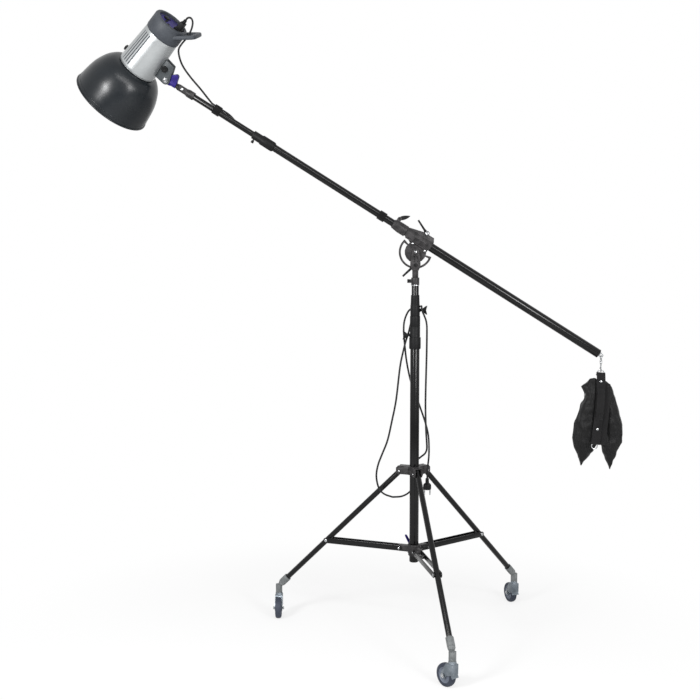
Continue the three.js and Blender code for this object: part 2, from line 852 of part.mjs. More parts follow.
function makeRiserClamp() {
  const c = riserClamp;
  const bottom = columnClamp.top + seat;
  const groove = bottom + c.grooveRise;
  const shell = turned([
    [riserLower.radius + seat, bottom],
    [c.radius - c.groove, bottom],
    [c.radius, bottom + c.groove],
    [c.radius, groove - c.groove],
    [c.radius - c.groove, groove],
    [c.radius - c.groove, groove + c.groove],
    [c.neckRadius, c.top],
    [riserUpper.radius + seat, c.top],
    [riserUpper.radius + seat, riserLower.top + seat],
    [riserLower.radius + seat, riserLower.top + seat],
  ]);
  const boss = cut(
    knobBoss(bottom + c.knobRise, c.radius),
    post(riserLower.radius + seat, bottom - overrun, c.top + overrun),
  );
  return join(shell, boss);
}

// A wing knob: its stem points along +X from the clamp's boss
function makeClampKnob() {
  const stem = rod(clampKnob.stemRadius, 0, clampKnob.stemLength, facets.screw);
  const hubEnd = clampKnob.stemLength + clampKnob.length;
  const body = rod(clampKnob.hubRadius, clampKnob.stemLength - seat, hubEnd, facets.screw);
  const wings = slab([
    [clampKnob.stemLength, -clampKnob.hubRadius],
    [hubEnd, -clampKnob.wing],
    [hubEnd + clampKnob.stemRadius, -clampKnob.wing],
    [hubEnd, 0],
    [hubEnd + clampKnob.stemRadius, clampKnob.wing],
    [hubEnd, clampKnob.wing],
    [clampKnob.stemLength, clampKnob.hubRadius],
  ], clampKnob.wingThick);
  return join(stem, body, wings);
}

piece(stand, "column_clamp", makeColumnClamp(), blackPlastic);
const columnKnob = group(stand, -columnClamp.radius - clampKnob.stemLength / 2 - seat, 0,
  columnClamp.bottom + columnClamp.knobRise);
columnKnob.name = "joint column_knob_turn";
columnKnob.rotation.z = Math.PI;
piece(columnKnob, "column_clamp_knob", makeClampKnob(), blackPlastic);

const riserOne = group(stand);
piece(riserOne, "riser_lower",
  pipe(riserLower.radius, riserLower.radius - riserLower.wall, riserLower.foot, riserLower.top), blackCoat);
piece(riserOne, "riser_clamp", makeRiserClamp(), blackPlastic);
const riserKnob = group(riserOne, riserClamp.radius + clampKnob.stemLength / 2 + seat, 0,
  columnClamp.top + seat + riserClamp.knobRise);
riserKnob.name = "joint riser_knob_turn";
piece(riserKnob, "riser_clamp_knob", makeClampKnob(), blackPlastic);

const riserTwo = group(riserOne);
piece(riserTwo, "riser_upper", makeRiserUpper(), blackCoat);

// The upper riser with the collar that the head stands on
function makeRiserUpper() {
  const tube = pipe(riserUpper.radius, riserUpper.radius - riserUpper.wall, riserUpper.foot, riserUpperTop);
  return join(tube, pipe(ring.radius, riserUpper.radius - riserUpper.wall / 2, ringBottom, ringBottom + ring.height));
}

// Head socket and yoke, which turn together on the riser
function makeHeadSocket() {
  const bottom = ringBottom + ring.height + seat;
  const shell = turned([
    [riserUpper.radius + seat, bottom],
    [socket.radius, bottom],
    [socket.radius, socketTop],
    [0, socketTop],
    [0, riserUpperTop + seat],
    [riserUpper.radius + seat, riserUpperTop + seat],
  ]);
  const boss = rod(socket.knobRadius, 0, socket.radius + socket.wallTop, facets.screw);
  boss.rotateZ(Math.PI).translate(0, 0, socketKnobHeight);
  return join(shell, cut(boss, post(riserUpper.radius + seat, bottom - overrun, socketTop)));
}

function makeYoke() {
  const bottom = socketTop + seat;
  const top = head.pivotHeight;
  const face = new THREE.Shape();
  face.moveTo(-yoke.stemRadius, yokeStemTop);
  face.lineTo(yoke.stemRadius, yokeStemTop);
  face.lineTo(yoke.shoulderHalf, yokeShoulder - yoke.armHalf);
  face.lineTo(yoke.shoulderHalf, yokeShoulder);
  face.lineTo(yoke.armHalf, top);
  face.absarc(0, top, yoke.armHalf, 0, Math.PI, false);
  face.lineTo(-yoke.shoulderHalf, yokeShoulder);
  face.lineTo(-yoke.shoulderHalf, yokeShoulder - yoke.armHalf);
  const fork = cut(
    slab(face, 2 * yoke.armOuter),
    block(-overrun, overrun, -yoke.armInner, yoke.armInner, yokeStemTop + yoke.ribDepth, top + overrun),
    ...hollows(),
    pinHole(tiltLock.radius).translate(0, 0, top - tiltLock.drop),
  );
  return join(fork, post(yoke.stemRadius, bottom, yokeStemTop + yoke.ribDepth, facets.small), makeTiltBolt());
}

// Two long hollows down each arm's outer face, with a rib between them
function hollows() {
  const top = head.pivotHeight - tiltBolt.headRadius - yoke.ribWidth;
  const low = head.pivotHeight - tiltLock.drop + tiltLock.washer + yoke.ribWidth / 2;
  return [-1, 1].flatMap((face) =>
    [-1, 1].map((side) =>
      block(
        Math.min(side * yoke.ribWidth / 2, side * (yoke.armHalf - yoke.ribDepth)),
        Math.max(side * yoke.ribWidth / 2, side * (yoke.armHalf - yoke.ribDepth)),
        face > 0 ? yoke.armOuter - yoke.ribDepth : -yoke.armOuter - overrun,
        face > 0 ? yoke.armOuter + overrun : -yoke.armOuter + yoke.ribDepth,
        low,
        top,
      ),
    ),
  );
}

// The tilt bolt and its round heads
function makeTiltBolt() {
  const reach = yoke.armOuter + tiltBolt.headHeight;
  const shank = axle(tiltBolt.radius, -reach, reach, facets.screw);
  const heads = [-1, 1].map((side) =>
    screwHead(tiltBolt.headRadius, side * (yoke.armOuter - seat), side * reach, facets.small));
  return join(shank, ...heads).translate(0, 0, head.pivotHeight);
}

const panning = group(riserTwo);
piece(panning, "head_socket", makeHeadSocket(), darkCasting);
const socketKnobPivot = group(panning, -socket.radius - socket.wallTop - seat, 0, socketKnobHeight);
socketKnobPivot.name = "joint head_knob_turn";
socketKnobPivot.rotation.z = Math.PI;
piece(socketKnobPivot, "head_socket_knob", rod(socket.knobRadius, 0, socket.knobLength, facets.screw), blackPlastic);
piece(panning, "yoke", makeYoke(), darkCasting);

// The locking lever and the screw that it turns, through the yoke and the sector's slot
function makeTiltLever() {
  const back = yoke.armOuter + seat;
  const screw = axle(tiltLock.radius, -back - tiltLock.headHeight, back + seat, facets.screw);
  const screwHead = axle(tiltLock.headRadius, -back - tiltLock.headHeight, -back, 6);
  const boss = axle(tiltLever.hubRadius, back, back + tiltLever.hubLength, facets.screw);
  const grip = new THREE.CylinderGeometry(tiltLever.tipRadius, tiltLever.rootRadius, tiltLever.length, facets.screw);
  grip.translate(0, tiltLever.length / 2, 0).rotateZ(-Math.PI / 2).rotateY(-leverLean);
  grip.translate(0, back + tiltLever.hubLength / 2, 0);
  return join(screw, screwHead, boss, grip);
}
const tiltLeverPivot = group(panning, 0, 0, head.pivotHeight - tiltLock.drop);
tiltLeverPivot.name = "joint tilt_lever_turn";
piece(tiltLeverPivot, "tilt_lock_lever", makeTiltLever(), blackPlastic);

// The boom's frame lies on the tilt bolt, with +X running down the boom to the counterweight
const tilting = group(panning, 0, 0, head.pivotHeight);
tilting.name = "joint boom_tilt";
tilting.rotation.y = head.tilt;

// The boom tube's underside, less the seat, which bounds the sector and the saddle's floor
const tubeBelly = head.boomLift - boomTube.radius - seat;
const saddleFloor = tubeBelly - saddle.wall;

// The slotted sector that shows and locks the tilt
function makeSector() {
  const end = sector.start + sector.sweep;
  const lean = head.tilt;
  const disc = axle(sector.discRadius, -sector.half, sector.half, facets.large);
  const rim = new THREE.Shape();
  rim.absarc(0, 0, sector.rimRadius, sector.start + lean, end + lean, false);
  rim.absarc(0, 0, sector.slotOuter, end + lean, sector.start + lean, true);
  const bridges = [sector.start, end - sector.endBridge].map((from) => {
    const bridge = new THREE.Shape();
    bridge.absarc(0, 0, sector.slotOuter + seat, from + lean, from + sector.endBridge + lean, false);
    bridge.absarc(0, 0, sector.discRadius - sector.half, from + sector.endBridge + lean, from + lean, true);
    return slab(bridge, 2 * sector.half, 3);
  });
  const lugs = [-1, 1].map((side) =>
    link(0, 0, sector.rivetX, side * sector.rivetX, sector.rivetLift, sector.lugRadius, 2 * sector.half));
  const reach = saddle.lugHalf + sector.rivetHead;
  const rivets = [-1, 1].map((side) =>
    axle(sector.rivetRadius, -reach, reach, facets.screw).translate(side * sector.rivetX, 0, sector.rivetLift));
  const plate = cut(
    join(disc, slab(rim, 2 * sector.half, facets.small + facets.cord), ...bridges, ...lugs),
    block(-2 * sector.rimRadius, 2 * sector.rimRadius, -overrun, overrun, tubeBelly, 2 * sector.rimRadius),
    pinHole(tiltBolt.radius),
  );
  return join(plate, ...rivets);
}
piece(tilting, "tilt_sector", makeSector(), darkCasting);

// The saddle clamps the boom's rear tube above the sector
function makeSaddle() {
  const s = saddle;
  const side = slab([
    [s.front, s.noseBottom],
    [s.front + s.noseLength, saddleFloor],
    [s.back - s.noseLength, saddleFloor],
    [s.back, s.noseBottom],
    [s.back, s.noseTop],
    [s.back - s.noseLength, s.top],
    [s.earX - s.earRadius, s.top],
    [s.front, s.noseTop],
  ], 2 * s.half);
  const core = rod(s.half, s.front - overrun, s.back + overrun, facets.small).translate(0, 0, head.boomLift);
  const cap = block(s.front, s.back, -s.capHalf, s.capHalf, saddleFloor, s.top);
  const rounded = overlap(side, join(core, cap));
  const barrel = rod(s.half + s.ribHeight, s.front + s.ribWidth, s.back - s.ribWidth, facets.small);
  barrel.translate(0, 0, head.boomLift);
  const ribs = s.ribs.map((x) =>
    overlap(barrel, block(x - s.ribWidth / 2, x + s.ribWidth / 2, -overrun, overrun, saddleFloor, s.noseTop)));
  const ear = axle(s.earRadius, -s.capHalf, s.capHalf, facets.small).translate(s.earX, 0, s.earLift);
  const lugs = [-1, 1].map((end) => {
    const x = end * sector.rivetX;
    return link(x, sector.rivetLift, sector.lugRadius, x, s.noseBottom, sector.lugRadius, 2 * s.lugHalf);
  });
  const slotReach = sector.rivetX + sector.lugRadius + seat;
  const slotHalf = sector.half + seat;
  const bores = [-1, 1].map((end) =>
    pinHole(sector.rivetRadius)
      .translate(end * sector.rivetX, 0, sector.rivetLift));
  return cut(
    join(rounded, ear, ...ribs, ...lugs),
    rod(boomTube.radius + seat, s.front - overrun, s.back + overrun).translate(0, 0, head.boomLift),
    block(s.front - overrun, s.back + overrun, -s.slit, s.slit, head.boomLift, s.top + overrun),
    block(-slotReach, slotReach, -slotHalf, slotHalf, 0, head.boomLift),
    pinHole(saddleLever.screwRadius / 2).translate(s.earX, 0, s.earLift),
    ...bores,
  );
}
piece(tilting, "saddle", makeSaddle(), darkCasting);

function makeSaddleLever() {
  const s = saddleLever;
  const tongueReach = saddle.earRadius + s.hubRadius;
  const tongueX = tongueReach * Math.cos(s.lean);
  const tongueZ = tongueReach * Math.sin(s.lean);
  const tongue = link(0, 0, s.hubRadius, tongueX, tongueZ, s.radius, 2 * (saddle.slit - seat));
  const arm = taperedArm(s.radius, s.tipRadius, saddle.earRadius + s.radius / 2, s.length, s.lean);
  const reach = saddle.capHalf + seat;
  const screw = axle(s.screwRadius / 2, -reach - seat, reach + seat, facets.screw);
  const heads = [-1, 1].map((side) => screwHead(s.screwRadius, side * reach, side * (reach + s.headHeight)));
  return join(tongue, arm, screw, ...heads);
}

// A round arm that tapers from one distance to another along a lean in the XZ plane
function taperedArm(rootRadius, tipRadius, from, to, lean) {
  const arm = new THREE.CylinderGeometry(tipRadius, rootRadius, to - from, facets.screw);
  return arm.translate(0, (from + to) / 2, 0).rotateZ(-Math.PI / 2).rotateY(-lean);
}

function screwHead(radius, near, far, segments = facets.screw) {
  return axle(radius, Math.min(near, far), Math.max(near, far), segments);
}

const saddleLeverPivot = group(tilting, saddle.earX, 0, saddle.earLift);
saddleLeverPivot.name = "joint saddle_lever_turn";
piece(saddleLeverPivot, "saddle_lever", makeSaddleLever(), blackPlastic);

// Boom: the rear tube with its end clamp slides through the saddle
const boom = group(tilting, 0, 0, head.boomLift);
piece(boom, "boom_tube",
  alongX(pipe(boomTube.radius, boomTube.radius - boomTube.wall, boomTube.front, boomTube.back)), blackCoat);

function makeBoomPlug() {
  const p = boomPlug;
  const body = rod(boomTube.radius - boomTube.wall - seat, boomTube.back - p.depth, boomTube.back + seat);
  const flange = rod(boomTube.radius, boomTube.back + seat, boomTube.back + seat + p.flange);
  const eyeX = boomTube.back + p.flange + p.eyeOut;
  const eye = cut(
    link(boomTube.back + p.flange / 2, 0, p.eyeRadius, eyeX, 0, p.eyeRadius, p.eyeThick),
    axle(p.eyeHole, -overrun, overrun, facets.screw).translate(eyeX, 0, 0),
  );
  return join(body, flange, eye);
}
piece(boom, "boom_plug", makeBoomPlug(), blackPlastic);

function makeBoomClamp() {
  const c = boomClamp;
  const step = boomTube.front - seat;
  const shell = turned([
    [middleTube.radius + seat, c.front],
    [c.frontRadius - boomTube.wall, c.front],
    [c.frontRadius, c.front + boomTube.wall],
    [c.backRadius, step],
    [c.backRadius, c.back],
    [boomTube.radius + seat, c.back],
    [boomTube.radius + seat, step],
    [middleTube.radius + seat, step],
  ]);
  const ears = cut(
    link(wingLever.pivotX, wingLever.pivotLift - head.boomLift, c.earHalf, wingLever.pivotX, 0, c.earHalf, 2 * c.earHalf),
    block(c.front - overrun, c.back, -wingLever.thick / 2 - seat, wingLever.thick / 2 + seat,
      c.frontRadius + seat, c.backRadius + overrun),
    rod(middleTube.radius + seat, c.front - overrun, c.back),
    block(c.front - overrun, c.back, -c.backRadius, c.backRadius, -c.backRadius - overrun, 0),
    pinHole(wingLever.pinRadius)
      .translate(wingLever.pivotX, 0, wingLever.pivotLift - head.boomLift),
  );
  return join(alongX(shell), ears);
}
piece(boom, "boom_clamp", makeBoomClamp(), darkCasting);

// A leaf-shaped cam lever lying along the clamp
function makeWingLever() {
  const w = wingLever;
  const leaf = new THREE.Shape();
  leaf.moveTo(0, -w.hub);
  leaf.quadraticCurveTo(w.length * w.topShare, -w.fat, w.length, 0);
  leaf.quadraticCurveTo(w.length * w.bellyShare, w.fat, 0, w.hub);
  leaf.absarc(0, 0, w.hub, Math.PI / 2, 1.5 * Math.PI, false);
  const body = slab(leaf, w.thick).rotateY(-w.lean);
  const reach = boomClamp.earHalf + seat;
  const pin = axle(w.pinRadius, -reach, reach, facets.screw);
  return join(body, pin);
}
const wingPivot = group(boom, wingLever.pivotX, 0, wingLever.pivotLift - head.boomLift);
wingPivot.name = "joint boom_lever_turn";
piece(wingPivot, "boom_clamp_lever", makeWingLever(), blackPlastic);

const middle = group(boom);
piece(middle, "middle_tube",
  alongX(pipe(middleTube.radius, middleTube.radius - middleTube.wall, middleTube.front, middleTube.back)), blackCoat);

function makeMiddleClamp() {
  const c = middleClamp;
  const waistX = c.front + (c.back - c.front) * c.waistShare;
  const step = middleTube.front - seat;
  const shell = turned([
    [frontTube.radius + seat, c.front],
    [c.waist, c.front],
    [c.waist, waistX - c.nub],
    [c.radius, waistX],
    [c.radius, c.back - c.nub],
    [c.waist, c.back],
    [middleTube.radius + seat, c.back],
    [middleTube.radius + seat, step],
    [frontTube.radius + seat, step],
  ]);
  return alongX(shell);
}
piece(middle, "middle_clamp", makeMiddleClamp(), blackPlastic);
function makeMiddleKnob() {
  const c = middleClamp;
  const stem = post(c.nub * c.stemShare, 0, c.nubOut, facets.screw);
  return join(stem, post(c.nub, c.nubOut / 2, c.nubOut + c.nub, facets.screw));
}
const middleKnobPivot = group(middle, middleClamp.front + 2 * middleClamp.nub, 0, -middleClamp.waist - seat);
middleKnobPivot.name = "joint middle_knob_turn";
middleKnobPivot.rotation.x = Math.PI;
piece(middleKnobPivot, "middle_clamp_knob", makeMiddleKnob(), blackPlastic);

const front = group(middle);
piece(front, "front_tube",
  alongX(pipe(frontTube.radius, frontTube.radius - frontTube.wall, frontTube.front, frontTube.back)), blackCoat);

function makeBoomTip() {
  const t = boomTip;
  const shell = alongX(turned([
    [frontTube.radius + seat, t.back],
    [t.collarRadius, t.back],
    [t.collarRadius, t.back - t.collarLength],
    [t.bodyRadius, t.back - t.collarLength - t.flat],
    [t.bodyRadius, t.front + t.flat],
    [t.neckRadius, t.front],
    [t.spigotRadius, t.front],
    [t.spigotRadius, t.front - t.spigotLength],
    [0, t.front - t.spigotLength],
    [0, frontTube.front - seat],
    [frontTube.radius + seat, frontTube.front - seat],
  ]));
  const flats = [-1, 1].map((side) => {
    const near = side * t.flat;
    const far = side * (t.flat + overrun);
    return block(t.front + t.flat, t.back - t.collarLength - t.flat, Math.min(near, far), Math.max(near, far),
      -overrun, overrun);
  });
  const button = axle(t.buttonRadius, -t.bodyRadius, 0, facets.screw);
  return join(cut(shell, ...flats), button.translate((t.front + t.back - t.collarLength) / 2, 0, 0));
}
piece(front, "boom_tip", makeBoomTip(), darkCasting);

// Hook-and-loop ties round a tube and the lead that lies on it, the lead's own piece within included
function makeTie(x, tubeRadius) {
  const inner = tubeRadius + seat;
  const from = x - strap.length / 2;
  const to = x + strap.length / 2;
  const lump = rod(lead.radius + strap.thick, from, to, facets.small).translate(0, 0, inner + lead.radius);
  const flank = block(from, to, -lead.radius - strap.thick / 2, lead.radius + strap.thick / 2, 0, inner + lead.radius);
  return cut(join(rod(inner + strap.thick, from, to), lump, flank), rod(inner, from - overrun, to + overrun));
}
piece(front, "tie_front", makeTie(tieFrontX, frontTube.radius), blackPlastic);
piece(middle, "tie_rear", makeTie(tieRearX, middleTube.radius).rotateX(-Math.PI / 2), blackPlastic);

// Lamp socket, swivelling on the tip's spigot
const socketTurn = group(front);
socketTurn.name = "joint lamp_swivel";
socketTurn.rotation.x = lampPlace.swivel;

function makeLampSocket() {
  const s = lampSocket;
  const sleeve = rod(s.sleeveRadius, s.sleeveFront, s.sleeveBack, facets.small);
  const tongue = link(s.sleeveFront, 0, s.sleeveRadius, lampPlace.pinX, 0, s.eyeRadius, 2 * s.tongue);
  const horn = link(lampPlace.pinX, 0, s.sleeveRadius, s.hornX, s.hornLift, s.hornRadius, 2 * s.tongue);
  const arm = link(s.hornX, s.hornLift, s.hornRadius, s.sleeveBack - s.hornRadius, 0, s.hornRadius, 2 * s.tongue);
  return cut(
    join(sleeve, tongue, horn, arm),
    rod(boomTip.spigotRadius + seat, boomTip.front - boomTip.spigotLength - seat, 0, facets.large),
    pinHole(s.pinRadius).translate(lampPlace.pinX, 0, 0),
  );
}
piece(socketTurn, "lamp_socket", makeLampSocket(), violetPlastic);

function makeSocketLever() {
  const l = socketLever;
  const stem = axle(l.stemRadius, 0, l.stemLength, facets.screw);
  const arm = new THREE.CylinderGeometry(l.radius, l.radius, l.length, facets.screw);
  return join(stem, arm.rotateX(Math.PI / 2).translate(0, l.stemLength - l.radius, l.length / 2 - l.stemRadius));
}
const socketLeverPivot = group(socketTurn, (lampSocket.sleeveBack + lampSocket.sleeveFront) / 2,
  lampSocket.sleeveRadius + seat, 0);
socketLeverPivot.name = "joint socket_lever_turn";
piece(socketLeverPivot, "lamp_socket_lever", makeSocketLever(), blackPlastic);

// Lamp frame: the beam leaves along +X, the pin lies along Y and the housing is on the +Z side
const beamShares = [-0.6438, 0.3584, -0.6761];
const lamp = group(socketTurn, lampPlace.pinX, 0, 0);
lamp.name = "joint lamp_tilt";
aimLamp();

// The lamp hangs on the pin so that its beam takes the wanted direction
function aimLamp() {
  object.updateMatrixWorld(true);
  const beam = new THREE.Vector3(...beamShares);
  const local = beam.transformDirection(socketTurn.matrixWorld.clone().invert());
  const lean = Math.atan2(-local.z, local.x);
  const flip = new THREE.Matrix4().makeBasis(
    new THREE.Vector3(Math.cos(lean), 0, -Math.sin(lean)),
    new THREE.Vector3(0, -1, 0),
    new THREE.Vector3(-Math.sin(lean), 0, -Math.cos(lean)),
  );
  lamp.setRotationFromMatrix(flip);
}

const axisLift = lampPlace.axisLift;
const housingRadius = (x, offset = 0) => {
  const share = (x - lampBody.back) / (lampBody.front - lampBody.back);
  return THREE.MathUtils.lerp(lampBody.backRadius, lampBody.frontRadius, share) + offset;
};
const onBeam = (geometry) => alongX(geometry).translate(0, 0, axisLift);

function makeBracket() {
  const b = bracket;
  const outer = b.inner + b.cheek;
  const outline = new THREE.Shape();
  outline.moveTo(b.front, b.lift);
  outline.lineTo(b.back, b.lift);
  outline.lineTo(b.back + b.backFoot, b.backFoot);
  outline.lineTo(0, -b.eyeRadius);
  outline.absarc(0, 0, b.eyeRadius, -Math.PI / 2, 0, false);
  const bosses = [-1, 1].map((side) =>
    screwHead(b.bossRadius, side * (outer - seat), side * (outer + b.bossHeight), facets.small)
      .translate(b.bossX, 0, b.bossLift));
  const cheeks = cut(
    join(slab(outline, 2 * outer), ...bosses),
    block(b.back - overrun, b.front + overrun, -b.inner, b.inner, -overrun, b.lift - b.baseDepth),
    onBeam(turned([
      [0, b.back - overrun],
      [housingRadius(b.back - overrun, seat), b.back - overrun],
      [housingRadius(b.front + overrun, seat), b.front + overrun],
      [0, b.front + overrun],
    ], facets.body)),
  );
  const reach = outer + lampSocket.headHeight;
  const pin = axle(lampSocket.pinRadius, -reach, reach, facets.screw);
  const heads = [-1, 1].map((side) =>
    screwHead(lampSocket.headRadius, side * (outer - seat), side * reach, facets.small));
  return join(cheeks, pin, ...heads);
}
piece(lamp, "lamp_bracket", makeBracket(), greyCasting);

function makeLampBody() {
  const b = lampBody;
  const shell = onBeam(turned([
    [b.backRadius - b.wall, b.back],
    [b.backRadius, b.back],
    [b.frontRadius, b.front],
    [b.frontRadius - b.wall, b.front],
  ], facets.body));
  const taper = Math.atan2(b.frontRadius - b.backRadius, b.front - b.back);
  const grooves = b.grooves.map((angle) => {
    const tool = block(b.back + b.grooveMargin, b.front - b.grooveMargin, -b.grooveWidth / 2, b.grooveWidth / 2,
      b.backRadius - b.grooveDepth, b.frontRadius + overrun);
    return tool.translate(-b.back, 0, -b.backRadius).rotateY(-taper).translate(b.back, 0, b.backRadius)
      .rotateX(-angle).translate(0, 0, axisLift);
  });
  const lug = block(b.lugX - b.lugLength / 2, b.lugX + b.lugLength / 2, -b.lugWidth / 2, b.lugWidth / 2,
    housingRadius(b.lugX, -b.wall / 2), housingRadius(b.lugX, b.lugHeight)).translate(0, 0, axisLift);
  return join(cut(shell, ...grooves), lug);
}
piece(lamp, "lamp_body", makeLampBody(), silverPaint);

function makeLampRear() {
  const r = lampRear;
  const front = lampBody.back - seat;
  const shell = onBeam(turned([
    [0, front],
    [r.radius - r.round / 2, front],
    [r.radius, front - r.round],
    [r.radius, r.back + r.round],
    [r.radius - r.round / 2, r.back + r.round / 4],
    [r.radius - r.round, r.back],
    [r.radius - r.rim - r.round, r.back],
    [r.radius - r.rim - r.round, r.back + r.recess],
    [0, r.back + r.recess],
  ], facets.body));
  const h = handle;
  const bail = new THREE.Shape();
  bail.moveTo(-h.half, -h.root);
  bail.lineTo(-h.half, h.reach - h.corner);
  bail.quadraticCurveTo(-h.half, h.reach, -h.half + h.corner, h.reach);
  bail.lineTo(h.half - h.corner, h.reach);
  bail.quadraticCurveTo(h.half, h.reach, h.half, h.reach - h.corner);
  bail.lineTo(h.half, -h.root);
  const gap = new THREE.Path();
  const inner = h.half - h.bar;
  gap.moveTo(-inner, h.corner / 2);
  gap.lineTo(inner, h.corner / 2);
  gap.lineTo(inner, h.reach - h.bar - h.corner / 2);
  gap.quadraticCurveTo(inner, h.reach - h.bar, inner - h.corner / 2, h.reach - h.bar);
  gap.lineTo(-inner + h.corner / 2, h.reach - h.bar);
  gap.quadraticCurveTo(-inner, h.reach - h.bar, -inner, h.reach - h.bar - h.corner / 2);
  bail.holes.push(gap);
  const loop = new THREE.ExtrudeGeometry(bail, { depth: h.thick, bevelEnabled: false, curveSegments: 3 });
  loop.translate(0, 0, -h.thick / 2).rotateZ(Math.PI / 2).rotateY(-h.lean);
  loop.translate(h.rootBack, 0, axisLift - h.drop);
  const cavity = onBeam(post(r.radius - r.rim, r.back - overrun, r.back + r.recess, facets.body));
  return join(shell, cut(loop, cavity, onBeam(post(r.radius - r.round, front, front + overrun, facets.body))));
}
piece(lamp, "lamp_rear", makeLampRear(), slatePlastic);

// The reflector's shell: a throat that rests on the housing, a deep crown and a rolled rim
function makeReflector() {
  const r = reflector;
  const depth = r.mouth - r.back;
  const flare = r.mouthRadius - r.neckRadius;
  const outer = r.crownShares.map((share, i) => [r.neckRadius + flare * r.flareShares[i], r.back + depth * share]);
  const inner = outer.map(([radius, x]) => [radius - r.wall, x + r.wall / 2]).reverse();
  return onBeam(turned([
    [r.throatRadius, r.back],
    [r.neckRadius, r.back],
    ...outer,
    [r.mouthRadius, r.mouth - r.rim],
    [r.mouthRadius + r.rim, r.mouth - r.rim],
    [r.mouthRadius + r.rim, r.mouth],
    [r.mouthRadius - r.wall, r.mouth],
    ...inner,
    [r.neckRadius - r.wall, r.back + r.wall],
    [r.throatRadius, r.back + r.wall],
  ], facets.bell));
}
piece(lamp, "reflector", makeReflector(), reflectorBlack);

// The flash head inside the reflector: a base that closes the housing and a dome over the lamps
function makeFlashHead() {
  const d = dome;
  const base = housingRadius(d.baseBack, -lampBody.wall - seat);
  const collar = reflector.throatRadius * Math.cos(Math.PI / facets.bell) - 2 * seat;
  const points = [
    [0, d.baseBack],
    [base, d.baseBack],
    [base, lampBody.front],
    [collar, lampBody.front],
    [collar, d.baseFront],
    [d.radius, d.baseFront],
  ];
  for (let i = 1; i <= d.rings; i += 1) {
    const angle = ((i / d.rings) * Math.PI) / 2;
    points.push([i === d.rings ? 0 : d.radius * Math.cos(angle), d.baseFront + d.height * Math.sin(angle)]);
  }
  return onBeam(turned(points, facets.body));
}
piece(lamp, "flash_head", makeFlashHead(), frosted);

// The lead's plug in the rear panel's inlet
function makeInletPlug() {
  const p = inletPlug;
  const face = lampRear.back + lampRear.recess - seat;
  const body = block(face - p.length, face, -p.width / 2, p.width / 2, -p.height / 2, p.height / 2);
  const relief = rod(p.reliefRadius, face - p.length - p.relief, face - p.length + seat, facets.screw);
  return join(body, relief).translate(0, p.side, p.lift);
}
piece(lamp, "lead_inlet_plug", makeInletPlug(), blackPlastic);

// Counterweight: a snap hook in the boom's eye and a saddle sandbag hanging from it
const eyeX = boomTube.back + boomPlug.flange + boomPlug.eyeOut;
const hanging = group(boom, eyeX, 0, 0);
hanging.name = "joint sandbag_swing";
hanging.rotation.y = -head.tilt;

function makeHook() {
  const h = hook;
  const hoop = () => new THREE.TorusGeometry(h.loop, h.wire, 6, facets.small).rotateY(Math.PI / 2);
  const rest = boomPlug.eyeHole * Math.cos(Math.PI / facets.screw) - h.wire - 3 * seat;
  const bowEnd = -rest - 2 * h.loop - h.wire;
  const swivel = post(h.swivelRadius, bowEnd - h.drop / 4, bowEnd + h.wire, facets.screw);
  const shank = post(h.wire, -h.drop, bowEnd, facets.screw);
  return join(hoop().translate(0, 0, -rest - h.loop), swivel, shank, hoop().translate(0, 0, -h.drop - h.loop + h.wire));
}
piece(hanging, "snap_hook", makeHook(), zincSteel);

// The bag's ring rests in the hook's foot
const ringTop = -hook.drop - 2 * hook.loop + 2 * hook.wire + seat + hook.ringWire;
const ringFoot = ringTop - hook.ringHeight;

function makeBagRing() {
  const h = hook;
  const bars = [ringFoot, ringTop].map((z) =>
    rod(h.ringWire, -h.ringHalf - h.ringWire, h.ringHalf + h.ringWire, facets.screw).translate(0, 0, z));
  const sides = [-1, 1].map((side) => post(h.ringWire, ringFoot, ringTop, facets.screw).translate(side * h.ringHalf, 0, 0));
  return join(...bars, ...sides);
}

// A pouch: oval slices from its gathered top to its tip, drawn in by an inset
function makePouch(slices, inset) {
  const rings = slices.map(([down, left, right, thick]) => ({
    z: bag.top - bag.reach * down,
    x: (bag.half * (left + right)) / 2,
    across: Math.max((bag.half * (right - left)) / 2 - inset, seat),
    through: Math.max(bag.depth * thick - inset, seat),
  }));
  rings[0].z -= inset;
  rings[rings.length - 1].z += inset;
  const places = rings.flatMap((slice) =>
    Array.from({ length: facets.bag }, (_, i) => {
      const angle = (i / facets.bag) * turn;
      return [slice.x + slice.across * Math.cos(angle), slice.through * Math.sin(angle), slice.z];
    }),
  );
  return lofted(places, rings.length, facets.bag);
}

// A closed skin over stacked rings of the same number of points, given from the top down
function lofted(places, rings, sides) {
  const faces = [];
  for (let level = 0; level < rings - 1; level += 1) {
    for (let i = 0; i < sides; i += 1) {
      const a = level * sides + i;
      const b = level * sides + ((i + 1) % sides);
      faces.push(a, a + sides, b, b, a + sides, b + sides);
    }
  }
  for (let i = 1; i < sides - 1; i += 1) {
    const last = (rings - 1) * sides;
    faces.push(0, i, i + 1, last, last + i + 1, last + i);
  }
  const skin = new THREE.BufferGeometry();
  skin.setAttribute("position", new THREE.BufferAttribute(new Float32Array(places.flat()), 3));
  skin.setIndex(faces);
  return skin;
}

const makePouches = (inset) => join(makePouch(pouchShares.left, inset), makePouch(pouchShares.right, inset));

